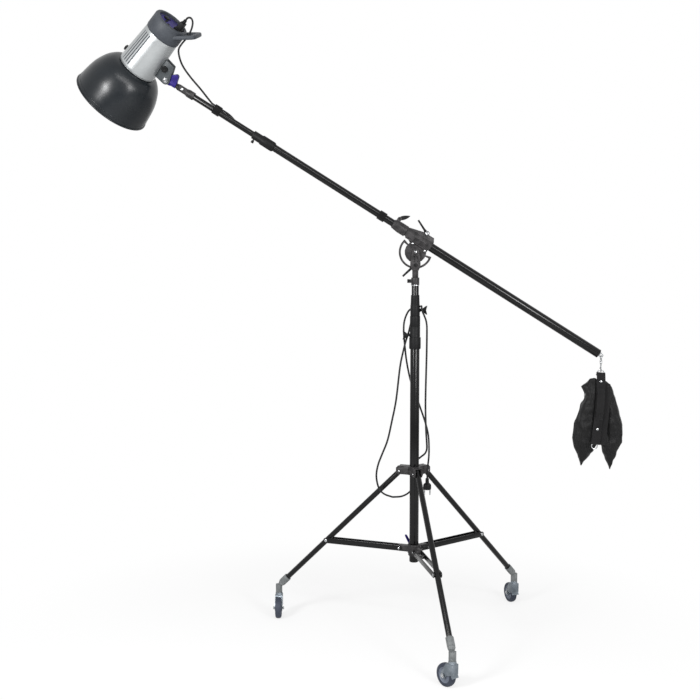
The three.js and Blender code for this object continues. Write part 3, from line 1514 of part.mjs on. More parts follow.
// The strap from the ring down the bag's front, and the ring at its foot
function makeStrap() {
  const outer = strapShares.map(([out, down]) => [-bag.depth * out, bag.reach * down]);
  const inner = outer.map(([y, z]) => [y + bag.strapSink, z]).reverse();
  const band = slab([...outer, ...inner], bag.strapWidth).rotateZ(Math.PI / 2);
  const loop = rod(bag.strapLoop, -bag.strapWidth / 2, bag.strapWidth / 2, facets.screw);
  const [footY, footZ] = outer[outer.length - 1];
  const ring = new THREE.TorusGeometry(bag.lowerRing, hook.ringWire, 6, facets.small).rotateX(Math.PI / 2);
  ring.translate(0, footY + bag.strapThick, footZ - bag.lowerRing + hook.ringWire);
  return join(band, loop, ring).rotateY(bag.strapLean).translate(0, 0, ringFoot);
}

function makeSandbag() {
  const mouthTop = bag.top - bag.mouthDrop;
  return cut(
    join(makePouches(0), makeStrap(), makeBagRing()),
    makePouches(bag.skin),
    block(-bag.mouthHalf, bag.mouthHalf, 0, bag.depth + overrun, mouthTop - bag.mouth, mouthTop),
  );
}
piece(hanging, "sandbag", makeSandbag(), cloth);
piece(hanging, "sandbag_filling", makePouches(bag.skin + seat), sand);

// The lead runs from the lamp over the boom, down behind the head, round a hanging loop and over the
// riser's knob to its plug; its rings stand at the places of its route
class Route extends THREE.CatmullRomCurve3 {
  getUtoTmapping(share) {
    return share;
  }
}

function makeLead(places) {
  const route = new Route(places.map(([x, y, z]) => new THREE.Vector3(x, y, z)));
  const section = new THREE.Shape(
    Array.from({ length: facets.cord }, (_, i) => {
      const angle = (i / facets.cord) * turn;
      return new THREE.Vector2(lead.radius * Math.cos(angle), lead.radius * Math.sin(angle));
    }),
  );
  return new THREE.ExtrudeGeometry(section, { steps: places.length - 1, extrudePath: route, bevelEnabled: false });
}
for (const [stretch, places] of Object.entries(leadPlaces)) {
  piece(stand, `lead_${stretch}`, makeLead(places), cordGrey);
}

function makeMainsPlug() {
  const p = mainsPlug;
  const neckEnd = -seat - p.neckLength;
  const body = turned([
    [0, -seat],
    [p.neckRadius, -seat],
    [p.neckRadius, neckEnd],
    [p.radius, neckEnd - p.shoulder],
    [p.radius, neckEnd - p.length],
    [0, neckEnd - p.length],
  ]);
  const pins = [-1, 1].map((side) =>
    post(p.pinRadius, neckEnd - p.length - p.pinLength, neckEnd - p.length + seat, facets.screw)
      .translate(side * p.pinGap, 0, 0));
  return join(body, ...pins).translate(p.place.x, p.place.y, p.place.top);
}
piece(stand, "lead_plug", makeMainsPlug(), blackPlastic);

export default object;
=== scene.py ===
# %% [markdown]
# # A rolling boom stand with its lamp and sandbag
# The object is a studio boom: a folding tripod on casters, two risers, a tilting head, a boom of three
# tubes, a flash lamp with a deep reflector at its far end, and a sandbag that balances it. The packed
# model gives the places and sizes. This lesson dresses it: round parts are spun afresh with fine steps,
# castings get softened edges, soft goods are inflated, and every surface gets a finish made of nodes.

# %% Load the frame
import json
import math

import bmesh
import bpy
from mathutils import Matrix, Vector, noise


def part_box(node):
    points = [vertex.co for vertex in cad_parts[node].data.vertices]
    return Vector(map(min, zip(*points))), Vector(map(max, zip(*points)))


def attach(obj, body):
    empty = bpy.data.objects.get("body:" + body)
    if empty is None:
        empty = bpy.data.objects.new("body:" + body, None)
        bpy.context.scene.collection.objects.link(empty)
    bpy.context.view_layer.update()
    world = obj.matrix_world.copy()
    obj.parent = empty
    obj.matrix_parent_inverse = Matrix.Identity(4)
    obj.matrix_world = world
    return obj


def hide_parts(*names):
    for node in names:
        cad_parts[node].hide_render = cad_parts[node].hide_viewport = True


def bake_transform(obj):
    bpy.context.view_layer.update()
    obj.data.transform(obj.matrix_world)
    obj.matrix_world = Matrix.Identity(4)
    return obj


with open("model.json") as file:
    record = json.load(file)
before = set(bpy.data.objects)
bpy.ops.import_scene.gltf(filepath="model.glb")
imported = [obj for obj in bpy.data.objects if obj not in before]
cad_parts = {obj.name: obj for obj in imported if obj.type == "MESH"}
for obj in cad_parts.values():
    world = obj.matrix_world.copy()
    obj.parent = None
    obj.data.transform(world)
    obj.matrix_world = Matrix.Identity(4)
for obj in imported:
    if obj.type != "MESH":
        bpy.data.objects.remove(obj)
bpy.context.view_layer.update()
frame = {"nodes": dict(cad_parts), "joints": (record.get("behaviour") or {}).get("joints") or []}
nodes = frame["nodes"]
MM = 0.001


def placed(name, data):
    made = bpy.data.objects.new(name, data)
    bpy.context.scene.collection.objects.link(made)
    return made


# %% [markdown]
# The camera stands where the photographer stood: about 3.95 m in front of the column, at the height of
# the boom's pivot, looking slightly down. Its place was worked out once from the picture's known heights,
# so the whole scene can be compared with the picture piece by piece.

# %% The camera
lens, looking_down = 59.2, 5.152
beside_column, before_column, eye_height = 0.2237, 3.9505, 1.3569
low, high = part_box("column_tube")
column_x, column_y = (low[0] + high[0]) / 2, (low[1] + high[1]) / 2
camera = placed("camera", bpy.data.cameras.new("camera"))
camera.data.sensor_width = 36
camera.data.lens = lens
camera.location = (column_x - beside_column, column_y - before_column, eye_height)
camera.rotation_euler = (math.radians(90 - looking_down), 0, 0)
bpy.context.scene.camera = camera
print("camera at", tuple(round(c, 3) for c in camera.location))

# %% [markdown]
# Every part of the object is made in a frame of its own, as on a workbench, and carried to its place by
# a matrix. The stand's frame lies on the floor under the column. The boom's frame turns with the head's
# tilt, so along its X a tube is simply straight. The lamp's frame lies on its tilt pin, with X along the
# beam. The lamp's place and pin are read from its joint, so they can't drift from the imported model.

# %% Frames to work in
def shift(x=0.0, y=0.0, z=0.0):
    return Matrix.Translation((x * MM, y * MM, z * MM))


def turned(axis, degrees):
    return Matrix.Rotation(math.radians(degrees), 4, axis)


joints = {joint["name"]: joint for joint in frame["joints"]}
ALONG_X = turned("Y", 90)
boom_lean, lamp_turn = 32.2, 21.4
pivot_height, boom_rise, hook_along_boom = 1337, 42, 732
stand = Matrix.Translation((column_x, column_y, 0))
head = stand @ shift(z=pivot_height)
tilted = head @ turned("Y", boom_lean)
boom = tilted @ shift(z=boom_rise)
lamp_roll = boom @ turned("X", lamp_turn)
hanging = boom @ shift(x=hook_along_boom) @ turned("Y", -boom_lean)


def on_axes(x_axis, y_axis, z_axis, at):
    return Matrix.Translation(at) @ Matrix((x_axis, y_axis, z_axis)).transposed().to_4x4()


def lamp_frame():
    joint = joints["lamp_tilt"]
    beam = Vector((-0.6438, 0.3584, -0.6761)).normalized()
    pin = Vector(joint["axis"]).normalized()
    return on_axes(beam, pin, beam.cross(pin), joint["pos_m"])


lamp = lamp_frame()
beam_axis = lamp @ shift(z=100) @ ALONG_X
print("lamp pin at", [round(c, 3) for c in lamp.translation])

# %% [markdown]
# The light is that of a catalogue studio. A white surround lights the object evenly, so a colour renders
# about as it is written. Two soft boxes in front draw the two glints on the reflector, and a long one,
# parallel to the boom, draws the line of light on the tubes. The floor is white and keeps the object's
# shadow; further out it melts into the surround. What the camera, a gloss or a glass sees of the surround
# is plain white. One helper makes every shader node of this lesson.

# %% Surround, soft boxes and floor
def put(tree, socket, value):
    if isinstance(value, bpy.types.NodeSocket):
        tree.links.new(value, socket)
    else:
        socket.default_value = value


def add_node(tree, kind, inputs=None, **settings):
    made = tree.nodes.new("ShaderNode" + kind)
    for name, value in settings.items():
        setattr(made, name, value)
    for key, value in (inputs or {}).items():
        put(tree, made.inputs[key], value)
    return made.outputs


def light_surround(strength):
    surround = bpy.data.worlds.new("surround")
    bpy.context.scene.world = surround
    surround.use_nodes = True
    tree = surround.node_tree
    rays = add_node(tree, "LightPath")
    seen = add_node(tree, "Math", {0: rays["Is Camera Ray"], 1: rays["Is Glossy Ray"]}, operation="MAXIMUM")
    either = add_node(tree, "Math", {0: seen[0], 1: rays["Is Transmission Ray"]}, operation="MAXIMUM")
    level = add_node(tree, "MapRange", {"Value": either[0], "To Min": strength, "To Max": 1.0})
    background = tree.nodes["Background"].inputs
    put(tree, background["Strength"], level["Result"])
    put(tree, background["Color"], (1, 1, 1, 1))


def facing(place, aim):
    turn = (Vector(aim) - Vector(place)).to_track_quat("-Z", "Y")
    return Matrix.Translation(place) @ turn.to_matrix().to_4x4()


def beside_boom(aim, back, away):
    along = Vector((math.cos(math.radians(boom_lean)), 0, -math.sin(math.radians(boom_lean))))
    back = (Vector(back) - along * along.dot(Vector(back))).normalized()
    return on_axes(along, back.cross(along), back, Vector(aim) + back * away)


def soft_box(name, place, size, power):
    data = bpy.data.lights.new(name, "AREA")
    data.shape = "RECTANGLE"
    data.size, data.size_y = size
    data.energy = power
    placed(name, data).matrix_world = place


light_surround(0.45)
soft_box("key_box", facing((-2.3, -2.74, 2.2), (-0.3, 0.06, 1.5)), (0.8, 1.2), 120)
soft_box("fill_box", facing((1.9, -3.34, 1.7), (0.1, 0.06, 1.3)), (0.7, 1.1), 60)
soft_box("long_box", beside_boom((0.1, 0.07, 1.4), (0, -0.83, 0.56), 2.9), (4.2, 0.35), 55)
bpy.context.scene.view_settings.view_transform = "Standard"


def floor_finish():
    made = bpy.data.materials.new("studio_floor")
    made.use_nodes = True
    tree = made.node_tree
    tree.nodes.remove(tree.nodes["Principled BSDF"])
    paper = add_node(tree, "BsdfDiffuse", {"Color": (0.86, 0.86, 0.86, 1)})
    glow = add_node(tree, "Emission", {"Strength": 1.0})
    away = add_node(tree, "VectorMath", {0: add_node(tree, "TexCoord")["Object"]}, operation="LENGTH")
    fade = add_node(tree, "MapRange", {"Value": away["Value"], "From Min": 0.5, "From Max": 1.5,
                                       "To Min": 0.72, "To Max": 1.0}, interpolation_type="SMOOTHSTEP")
    camera_ray = add_node(tree, "LightPath")["Is Camera Ray"]
    seen = add_node(tree, "Math", {0: fade["Result"], 1: camera_ray}, operation="MULTIPLY")
    blend = add_node(tree, "MixShader", {"Fac": seen[0], 1: paper[0], 2: glow[0]})
    put(tree, tree.nodes["Material Output"].inputs["Surface"], blend[0])
    return made


def mesh_of(name, part):
    mesh = bpy.data.meshes.new(name)
    part.to_mesh(mesh)
    part.free()
    return mesh


def lay_floor(radius):
    sheet = bmesh.new()
    bmesh.ops.create_circle(sheet, cap_ends=True, radius=radius, segments=96)
    mesh = mesh_of("floor", sheet)
    mesh.materials.append(floor_finish())
    placed("floor", mesh)


lay_floor(9)
print("surround, three soft boxes and a floor")

# %% [markdown]
# A finish is made of nodes that read Object coordinates, so a grain has its real size wherever the piece
# sits. One helper lays the common ground: two tones mixed by slow noise, a roughness that wanders, a fine
# bump for the grain, and thin marks of wear where a third noise is at its peaks. What is the same all over
# stays on the shader's own sockets.

# %% A ground for finishes
def new_finish(name, **sockets):
    made = bpy.data.materials.new(name)
    made.use_nodes = True
    tree = made.node_tree
    shader = tree.nodes["Principled BSDF"].inputs
    for socket, value in sockets.items():
        shader[socket.replace("_", " ")].default_value = value
    return made, tree, shader


def noise_of(tree, scale, detail, place):
    return add_node(tree, "TexNoise", {"Scale": scale, "Detail": detail, "Vector": place})["Fac"]


def spread(tree, value, low, high, out_low, out_high):
    return add_node(tree, "MapRange", {"Value": value, "From Min": low, "From Max": high,
                                       "To Min": out_low, "To Max": out_high})["Result"]


def mixed(tree, share, first, second, blend="MIX"):
    first, second = (c if isinstance(c, bpy.types.NodeSocket) else (*c, 1) for c in (first, second))
    return add_node(tree, "Mix", {"Factor": share, "A": first, "B": second}, data_type="RGBA",
                    blend_type=blend)["Result"]


def object_place(tree, stretch=(1, 1, 1), lean=(0, 0, 0)):
    where = add_node(tree, "TexCoord")["Object"]
    return add_node(tree, "Mapping", {"Vector": where, "Rotation": lean, "Scale": stretch})["Vector"]


def bumped(tree, height, strength, distance, before=None):
    inputs = {"Height": height, "Strength": strength, "Distance": distance}
    if before is not None:
        inputs["Normal"] = before
    return add_node(tree, "Bump", inputs)["Normal"]


def grained(name, dark, light, rough, grain, bump, wear=None, patch=18, stretch=(1, 1, 1), lean=(0, 0, 0),
            **sockets):
    made, tree, shader = new_finish(name, **sockets)
    place = object_place(tree, stretch, lean)
    tones = mixed(tree, spread(tree, noise_of(tree, patch, 4, place), 0.35, 0.65, 0, 1), dark, light)
    wander = spread(tree, noise_of(tree, patch * 6, 5, place), 0.3, 0.7, *rough)
    if wear is not None:
        worn, amount = wear
        marks = spread(tree, noise_of(tree, patch * 3.7, 12, place), 0.66, 0.74, 0, amount)
        tones = mixed(tree, marks, tones, worn)
    put(tree, shader["Base Color"], tones)
    put(tree, shader["Roughness"], wander)
    put(tree, shader["Normal"], bumped(tree, noise_of(tree, grain, 3, place), 0.4, bump))
    return made


# %% [markdown]
# Most of the stand is black, yet no two blacks are the same: the tubes have a smooth satin coat that shows
# a line of light, the castings a pebbled powder coat that looks dark grey, the knobs a dry moulded nylon.
# Telling them apart is what makes the stand look built rather than cut from one piece.

# %% The blacks, greys and metals
black_coat = grained("black_coat", (0.0014, 0.0014, 0.0016), (0.0024, 0.0024, 0.0027), (0.17, 0.2), 900,
                     0.000002, wear=((0.008, 0.008, 0.009), 0.2), patch=14, Specular_IOR_Level=0.24)
black_plastic = grained("black_plastic", (0.005, 0.0052, 0.0055), (0.009, 0.0092, 0.0097), (0.4, 0.56), 2600,
                        0.00012, wear=((0.02, 0.02, 0.021), 0.3), patch=30, Specular_IOR_Level=0.1)
dark_casting = grained("dark_casting", (0.012, 0.0115, 0.012), (0.036, 0.034, 0.035), (0.36, 0.5), 1500,
                       0.0003, wear=((0.08, 0.076, 0.076), 0.5), patch=55, Specular_IOR_Level=0.2)
grey_casting = grained("grey_casting", (0.1, 0.108, 0.11), (0.15, 0.158, 0.16), (0.42, 0.58), 1400, 0.00022,
                       wear=((0.3, 0.31, 0.31), 0.5), patch=34, Specular_IOR_Level=0.35)
bracket_grey = grained("bracket_grey", (0.028, 0.033, 0.036), (0.045, 0.051, 0.055), (0.4, 0.54), 1500,
                       0.0002, wear=((0.2, 0.2, 0.2), 0.5), patch=34, Specular_IOR_Level=0.3)
fork_zinc = grained("fork_zinc", (0.12, 0.14, 0.16), (0.24, 0.27, 0.3), (0.24, 0.38), 700, 0.00008,
                    wear=((0.6, 0.62, 0.63), 0.4), patch=26, Metallic=0.85)
bright_zinc = grained("bright_zinc", (0.36, 0.37, 0.38), (0.5, 0.51, 0.52), (0.12, 0.24), 900, 0.00005,
                      patch=60, Metallic=1.0)
tread_rubber = grained("tread_rubber", (0.022, 0.027, 0.042), (0.036, 0.043, 0.062), (0.55, 0.75), 1200,
                       0.0002, wear=((0.09, 0.1, 0.12), 0.5), patch=22, Specular_IOR_Level=0.3)
core_grey = grained("core_grey", (0.1, 0.115, 0.15), (0.14, 0.16, 0.2), (0.4, 0.55), 1600, 0.00012,
                    wear=((0.06, 0.065, 0.08), 0.5), patch=30, Specular_IOR_Level=0.35)
violet_coat = grained("violet_coat", (0.014, 0.009, 0.085), (0.022, 0.015, 0.13), (0.35, 0.5), 1500, 0.0001,
                      wear=((0.04, 0.032, 0.15), 0.4), patch=30, Specular_IOR_Level=0.12)
slate_moulding = grained("slate_moulding", (0.033, 0.037, 0.044), (0.046, 0.051, 0.059), (0.42, 0.56), 2200,
                         0.00016, wear=((0.09, 0.1, 0.11), 0.35), patch=24, Specular_IOR_Level=0.2)
reflector_coat = grained("reflector_coat", (0.0042, 0.0058, 0.0076), (0.0064, 0.0085, 0.0108), (0.27, 0.31),
                         1100, 0.00006, wear=((0.014, 0.016, 0.019), 0.2), patch=12, Specular_IOR_Level=0.3)
lead_rubber = grained("lead_rubber", (0.009, 0.0095, 0.01), (0.016, 0.0165, 0.017), (0.42, 0.56), 1900,
                      0.00012, wear=((0.03, 0.03, 0.03), 0.3), patch=40, Specular_IOR_Level=0.12)
white_ceramic = grained("white_ceramic", (0.72, 0.71, 0.68), (0.8, 0.79, 0.76), (0.4, 0.5), 1500, 0.0001)
print("ground finishes ready")

# %% [markdown]
# The lamp's shell is silver paint over metal: a flake shows as a tiny sparkle in the roughness, and fine
# lines run along the beam. The inside of the reflector is bright and dimpled, so that the light scatters
# evenly. Glass gets transmission with a frosted roughness.

# %% Shell, mirror and glass
def dimple_finish():
    made, tree, shader = new_finish("dimpled_mirror", Metallic=1.0, Roughness=0.24)
    place = object_place(tree)
    cells = add_node(tree, "TexVoronoi", {"Scale": 170, "Vector": place}, feature="SMOOTH_F1")
    put(tree, shader["Normal"], bumped(tree, cells["Distance"], 0.7, 0.0012))
    tones = mixed(tree, noise_of(tree, 30, 3, place), (0.6, 0.61, 0.62), (0.74, 0.75, 0.76))
    put(tree, shader["Base Color"], tones)
    return made


def glass_finish(name, tint, rough):
    made, tree, shader = new_finish(name, Transmission_Weight=0.85, IOR=1.47)
    place = object_place(tree)
    brighter = tuple(min(1, c * 1.06) for c in tint)
    put(tree, shader["Base Color"], mixed(tree, noise_of(tree, 60, 4, place), tint, brighter))
    frost = spread(tree, noise_of(tree, 500, 4, place), 0.3, 0.7, rough, rough + 0.1)
    put(tree, shader["Roughness"], frost)
    return made


silver_shell = grained("silver_shell", (0.33, 0.345, 0.35), (0.38, 0.395, 0.4), (0.3, 0.38), 5200, 0.00002,
                       wear=((0.34, 0.35, 0.35), 0.3), patch=9, stretch=(0.35, 1, 1),
                       lean=lamp.to_3x3().inverted().to_euler(), Metallic=0.75)
dimpled_mirror = dimple_finish()
frosted_glass = glass_finish("frosted_glass", (0.86, 0.87, 0.87), 0.42)
clear_tube = glass_finish("clear_tube", (0.9, 0.9, 0.87), 0.06)
print("shell, mirror and glass ready")

# %% [markdown]
# Cloth, webbing and tapes differ by their weave. The bag's nylon and its webbing are plain weaves, fine and
# coarse: two waves crossed at right angles. The seam tape is ribbed one way. The hook-and-loop tape has no
# threads to see, only a fuzz. Each weave drives a bump and darkens the gaps between threads a little.

# %% Woven finishes
def wave_along(tree, place, direction, scale):
    return add_node(tree, "TexWave", {"Scale": scale, "Distortion": 0.6, "Detail": 2, "Vector": place},
                    wave_type="BANDS", bands_direction=direction)["Fac"]


def woven(name, dark, light, threads, depth, rough, sheen, cross=True, crease=0.0, specular=0.05):
    made, tree, shader = new_finish(name, Sheen_Weight=sheen, Sheen_Roughness=0.5,
                                    Specular_IOR_Level=specular)
    place = object_place(tree)
    weave = wave_along(tree, place, "X", threads)
    if cross:
        other = wave_along(tree, place, "Z", threads)
        weave = add_node(tree, "Math", {0: weave, 1: other}, operation="MULTIPLY")[0]
    slow = noise_of(tree, 24, 6, place)
    tones = mixed(tree, spread(tree, slow, 0.35, 0.65, 0, 1), dark, light)
    put(tree, shader["Base Color"], mixed(tree, 0.45, tones, weave, "MULTIPLY"))
    put(tree, shader["Roughness"], spread(tree, slow, 0.3, 0.7, *rough))
    normal = bumped(tree, weave, 0.5, depth)
    if crease:
        normal = bumped(tree, noise_of(tree, 34, 5, place), 0.5, crease, before=normal)
    put(tree, shader["Normal"], normal)
    return made


bag_cloth = woven("bag_cloth", (0.0024, 0.0024, 0.0027), (0.0052, 0.0052, 0.0056), 420, 0.0003, (0.38, 0.5),
                  0.05, crease=0.006, specular=0.17)
webbing = woven("webbing", (0.011, 0.0108, 0.0114), (0.018, 0.0176, 0.0184), 260, 0.0006, (0.6, 0.8), 0.12)
seam_tape = woven("seam_tape", (0.006, 0.006, 0.0064), (0.011, 0.011, 0.0114), 330, 0.0005, (0.6, 0.8), 0.1,
                  cross=False)
tie_tape = grained("tie_tape", (0.003, 0.003, 0.0031), (0.006, 0.006, 0.0061), (0.75, 0.95), 2600, 0.0006,
                   patch=60, Sheen_Weight=0.1, Specular_IOR_Level=0.08)
dry_sand = grained("dry_sand", (0.34, 0.27, 0.17), (0.5, 0.42, 0.28), (0.8, 0.95), 1600, 0.0008, patch=90)
print("woven finishes ready")

# %% [markdown]
# The helpers below are the whole workshop. A lathe spins a short profile about its axis, after easing the
# profile's corners so that rims catch the light. A block and a plate are boxed or extruded and bevelled. A
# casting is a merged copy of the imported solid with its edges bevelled, because its shape is already right
# and only its edges are too crisp. Everything is given in millimetres and carried to its place at the end.

# %% Lathe, block, plate, casting
def eased(profile, ease, closed):
    count, out = len(profile), []
    for i, point in enumerate(profile):
        if not closed and i in (0, count - 1):
            out.append(point)
            continue
        here = Vector(point)
        back, on = Vector(profile[i - 1]) - here, Vector(profile[(i + 1) % count]) - here
        if back.length < 1e-6 or on.length < 1e-6 or math.pi - back.angle(on) < 0.4:
            out.append(point)
            continue
        near = here + back.normalized() * min(ease, back.length * 0.45)
        far = here + on.normalized() * min(ease, on.length * 0.45)
        out += [tuple(near), tuple((near + far) / 4 + here / 2), tuple(far)]
    return out


def settled(part, place=Matrix(), slot=0):
    bmesh.ops.transform(part, matrix=place, verts=part.verts)
    for face in part.faces:
        face.material_index = slot
        face.smooth = True
    return part


def soften(part, width, angle=-1.0, segments=2):
    rims = [edge for edge in part.edges if edge.calc_face_angle(0) > angle]
    bmesh.ops.bevel(part, geom=rims, offset=width * MM, offset_type="OFFSET", segments=segments, profile=0.5,
                    affect="EDGES", clamp_overlap=True, material=-1)


def thickened(part, along):
    """A flat sheet of faces given a thickness, as a closed solid."""
    grown = bmesh.ops.extrude_face_region(part, geom=part.faces[:], use_keep_orig=True)
    moved = [v for v in grown["geom"] if isinstance(v, bmesh.types.BMVert)]
    bmesh.ops.translate(part, vec=along, verts=moved)
    bmesh.ops.recalc_face_normals(part, faces=part.faces)


def faces_axis(face):
    return face.normal.xy.dot(face.calc_center_median().xy) < -1e-9


def lathe(profile, place=Matrix(), steps=48, ease=0.6, slot=0, lining=None):
    closed = all(radius > 0 for radius, _ in profile)
    points = eased(profile, ease, closed)
    part = bmesh.new()
    path = [part.verts.new((radius * MM, 0, height * MM)) for radius, height in points]
    pairs = list(zip(path, path[1:])) + ([(path[-1], path[0])] if closed else [])
    edges = [part.edges.new(pair) for pair in pairs]
    bmesh.ops.spin(part, geom=path + edges, cent=(0, 0, 0), axis=(0, 0, 1), dvec=(0, 0, 0),
                   angle=math.tau, steps=steps, use_merge=True)
    bmesh.ops.remove_doubles(part, verts=part.verts, dist=1e-6)
    bmesh.ops.recalc_face_normals(part, faces=part.faces)
    inner = [face for face in part.faces if lining is not None and faces_axis(face)]
    settled(part, place, slot)
    for face in inner:
        face.material_index = lining
    return part


def block(x0, x1, y0, y1, z0, z1, place, soft, slot=0):
    part = bmesh.new()
    middle = Matrix.Translation(((x0 + x1) / 2 * MM, (y0 + y1) / 2 * MM, (z0 + z1) / 2 * MM))
    size = Matrix.Diagonal(((x1 - x0) * MM, (y1 - y0) * MM, (z1 - z0) * MM, 1))
    bmesh.ops.create_cube(part, size=1, matrix=middle @ size)
    soften(part, soft, segments=3)
    return settled(part, place, slot)


def plate(outline, low, high, place, soft=0.5):
    """An outline of (x, z) points, made thick along Y from low to high."""
    part = bmesh.new()
    part.faces.new([part.verts.new((x * MM, low * MM, z * MM)) for x, z in outline])
    thickened(part, (0, (high - low) * MM, 0))
    soften(part, soft, angle=0.7)
    return settled(part, place)


def casting(node, soft):
    part = bmesh.new()
    part.from_mesh(nodes[node].data)
    bmesh.ops.remove_doubles(part, verts=part.verts, dist=2e-5)
    bmesh.ops.dissolve_limit(part, angle_limit=math.radians(0.8), verts=part.verts, edges=part.edges)
    bmesh.ops.dissolve_degenerate(part, dist=1e-4, edges=part.edges)
    soften(part, soft, angle=0.55)
    return settled(part)


def arc(x, z, radius, start, end, steps):
    span = [math.radians(start + (end - start) * i / steps) for i in range(steps + 1)]
    return [(x + radius * math.cos(a), z + radius * math.sin(a)) for a in span]


# %% [markdown]
# Small hardware repeats all over the stand. A rivet is a low dome. A bolt head has six sides and a
# chamfered top on a washer. A socket screw is a short cylinder with a round well. They are spun or
# coned once here, at any size, standing on the plane Z = 0 of the place they are given.

# %% Rivets, bolts and screws
def rivet(radius, height, place, slot=0):
    dome = [(0, height)] + [(radius * math.sin(a), height * (0.25 + 0.75 * math.cos(a)))
                            for a in (0.4, 0.8, 1.2, 1.5)] + [(radius, 0), (0, 0)]
    return lathe(dome, place, steps=24, ease=0.15, slot=slot)


def hex_bolt(radius, height, place, slot=0, washer=0.0):
    part = bmesh.new()
    bmesh.ops.create_cone(part, cap_ends=True, segments=6, radius1=radius * MM, radius2=radius * MM,
                          depth=height * MM, matrix=Matrix.Translation((0, 0, (height / 2 + washer) * MM)))
    soften(part, radius * 0.1, angle=0.5)
    if washer:
        wide = radius * 1.35
        merge_into(part, lathe([(0, 0), (wide, 0), (wide, washer), (0, washer)], steps=28, ease=0.2))
    return settled(part, place, slot)


def well_screw(radius, height, place, slot=0):
    well = [(0, height * 0.4), (radius * 0.45, height * 0.4), (radius * 0.45, height), (radius * 0.8, height),
            (radius, height * 0.75), (radius, 0), (0, 0)]
    return lathe(well, place, steps=24, ease=0.25, slot=slot)


def merge_into(whole, part):
    scratch = mesh_of("scratch", part)
    whole.from_mesh(scratch)
    bpy.data.meshes.remove(scratch)


# %% [markdown]
# A piece is several such parts in one mesh. It gets its finishes, rides on the body that carries it, and
# hides the imported node it stands for. Each part's slot picks one of these finishes. Edges sharper than a
# limit stay crisp, the rest shade smooth.


def piece(name, body, finishes, parts, node, crisp=32):
    whole = bmesh.new()
    for part in parts:
        merge_into(whole, part)
    mesh = mesh_of(name, whole)
    mesh.set_sharp_from_angle(angle=math.radians(crisp))
    for finish in finishes:
        mesh.materials.append(finish)
    made = placed(name, mesh)
    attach(made, body)
    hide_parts(node)
    return made


def cast_piece(name, body, finish, node, soft, *bright):
    """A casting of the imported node, with any bright parts that sit in it."""
    finishes = [finish, bright_zinc] if bright else [finish]
    piece(name, body, finishes, [casting(node, soft), *bright], node)


print("workshop ready")

# %% [markdown]
# The lamp's lead comes first, because it is the longest and freest thing here: 3.5 metres of black round
# cable, 6.5 mm thick. It leaves the lamp's inlet in a small loop, hangs to the first tie, runs along the
# back of the boom to the second tie, drops past the head, hangs in a long loop to the hub and back up, and
# ends in its plug. Its points are listed one by one, and a Catmull-Rom curve runs through them. Where it
# crosses a joint it is cut into stretches.

# %% The lead's route
route = [
    (-763.3, -82.9, 2098), (-756.3, -87.4, 2103.8), (-747.1, -92.2, 2102.9), (-741.1, -94.4, 2096),
    (-739.9, -92.8, 2083.9), (-744.7, -88.4, 2067.2), (-753.7, -83.5, 2051.7), (-764.4, -79.7, 2037.3),
    (-780.2, -76.1, 2020.2), (-790.5, -70.6, 2003.3), (-788.5, -61.5, 1978.1), (-778, -50.3, 1950.4),
    (-755, -37.7, 1917.4), (-725.6, -22.6, 1882.7), (-693.7, 0, 1841.8), (-686.3, 0, 1834.9),
    (-679.1, 0, 1830.3),
]
along_boom = [
    (-656.2, 0, 1815.7), (-639, 2.5, 1804.9), (-627.2, 7.5, 1795.4), (-616.8, 11.8, 1783.8),
    (-606.9, 13.9, 1771.4), (-593.6, 14.1, 1760.5), (-575, 16, 1748.8), (-563.2, 19.6, 1741.3),
    (-551.3, 21.3, 1733.8), (-519.2, 21.3, 1713.6), (-485.3, 21.3, 1692.3), (-473.5, 20.6, 1684.8),
    (-458.3, 17.8, 1675.2), (-441.3, 16.6, 1664.6), (-383.8, 16.6, 1628.3), (-299.2, 16.6, 1575),
    (-214.6, 16.6, 1521.7), (-126.4, 16.6, 1466.2),
]
down_stand = [
    (-103, 16.6, 1451.5), (-96.1, 16.8, 1447.1), (-74.5, 26, 1428.8), (-41.6, 29, 1402.2),
    (-20, 31, 1380.3), (-8.4, 35, 1351.8), (-3, 38, 1325), (0, 40, 1295), (0, 39, 1262), (0, 38, 1225),
    (-1, 38, 1180), (-4, 37, 1130), (-12, 33, 1095), (-19, 26, 1066), (-25, 19, 1047), (-31, 13, 1030),
    (-40, 9, 995), (-51, 6, 940), (-64, 4, 827), (-78, 3, 755), (-93, 2, 687), (-111, 0, 640),
    (-126, 0, 600), (-132, 0, 560), (-124, 1, 520), (-106, 4, 497), (-75, 10, 484), (-42, 18, 485),
    (-15, 28, 498), (0, 34, 522), (4, 35, 552), (4, 35, 582), (9, 35, 606), (24, 30, 622), (37, 16, 636),
    (43, 2, 654), (42, -6, 682), (39, -8, 730), (37, -8, 828), (40, -8, 991), (40.5, -8, 1070),
]
hanging_end = [
    (40.5, -8, 1070.3), (40, -8.5, 1085), (37, -10, 1103), (31, -12, 1119), (25, -13.5, 1133),
    (22, -10, 1145), (22, -4, 1150.5), (21.5, 4, 1152), (20, 11, 1151), (14, 19, 1149), (3, 26, 1147),
    (-9, 27, 1143), (-21, 25, 1134), (-31, 22.5, 1115), (-37, 21, 1092), (-38, 20.5, 1065),
    (-36, 20.5, 1035), (-33, 21, 1005), (-29, 22, 970), (-21, 25, 925), (-11, 29, 885), (4, 31, 845),
    (20, 27, 800), (37, 15, 750), (47, 2, 710), (50, -8, 670), (49, -15, 630), (45, -16, 590),
    (44, -16, 556.3),
]
print(sum(map(len, (route, along_boom, down_stand, hanging_end))), "points placed")


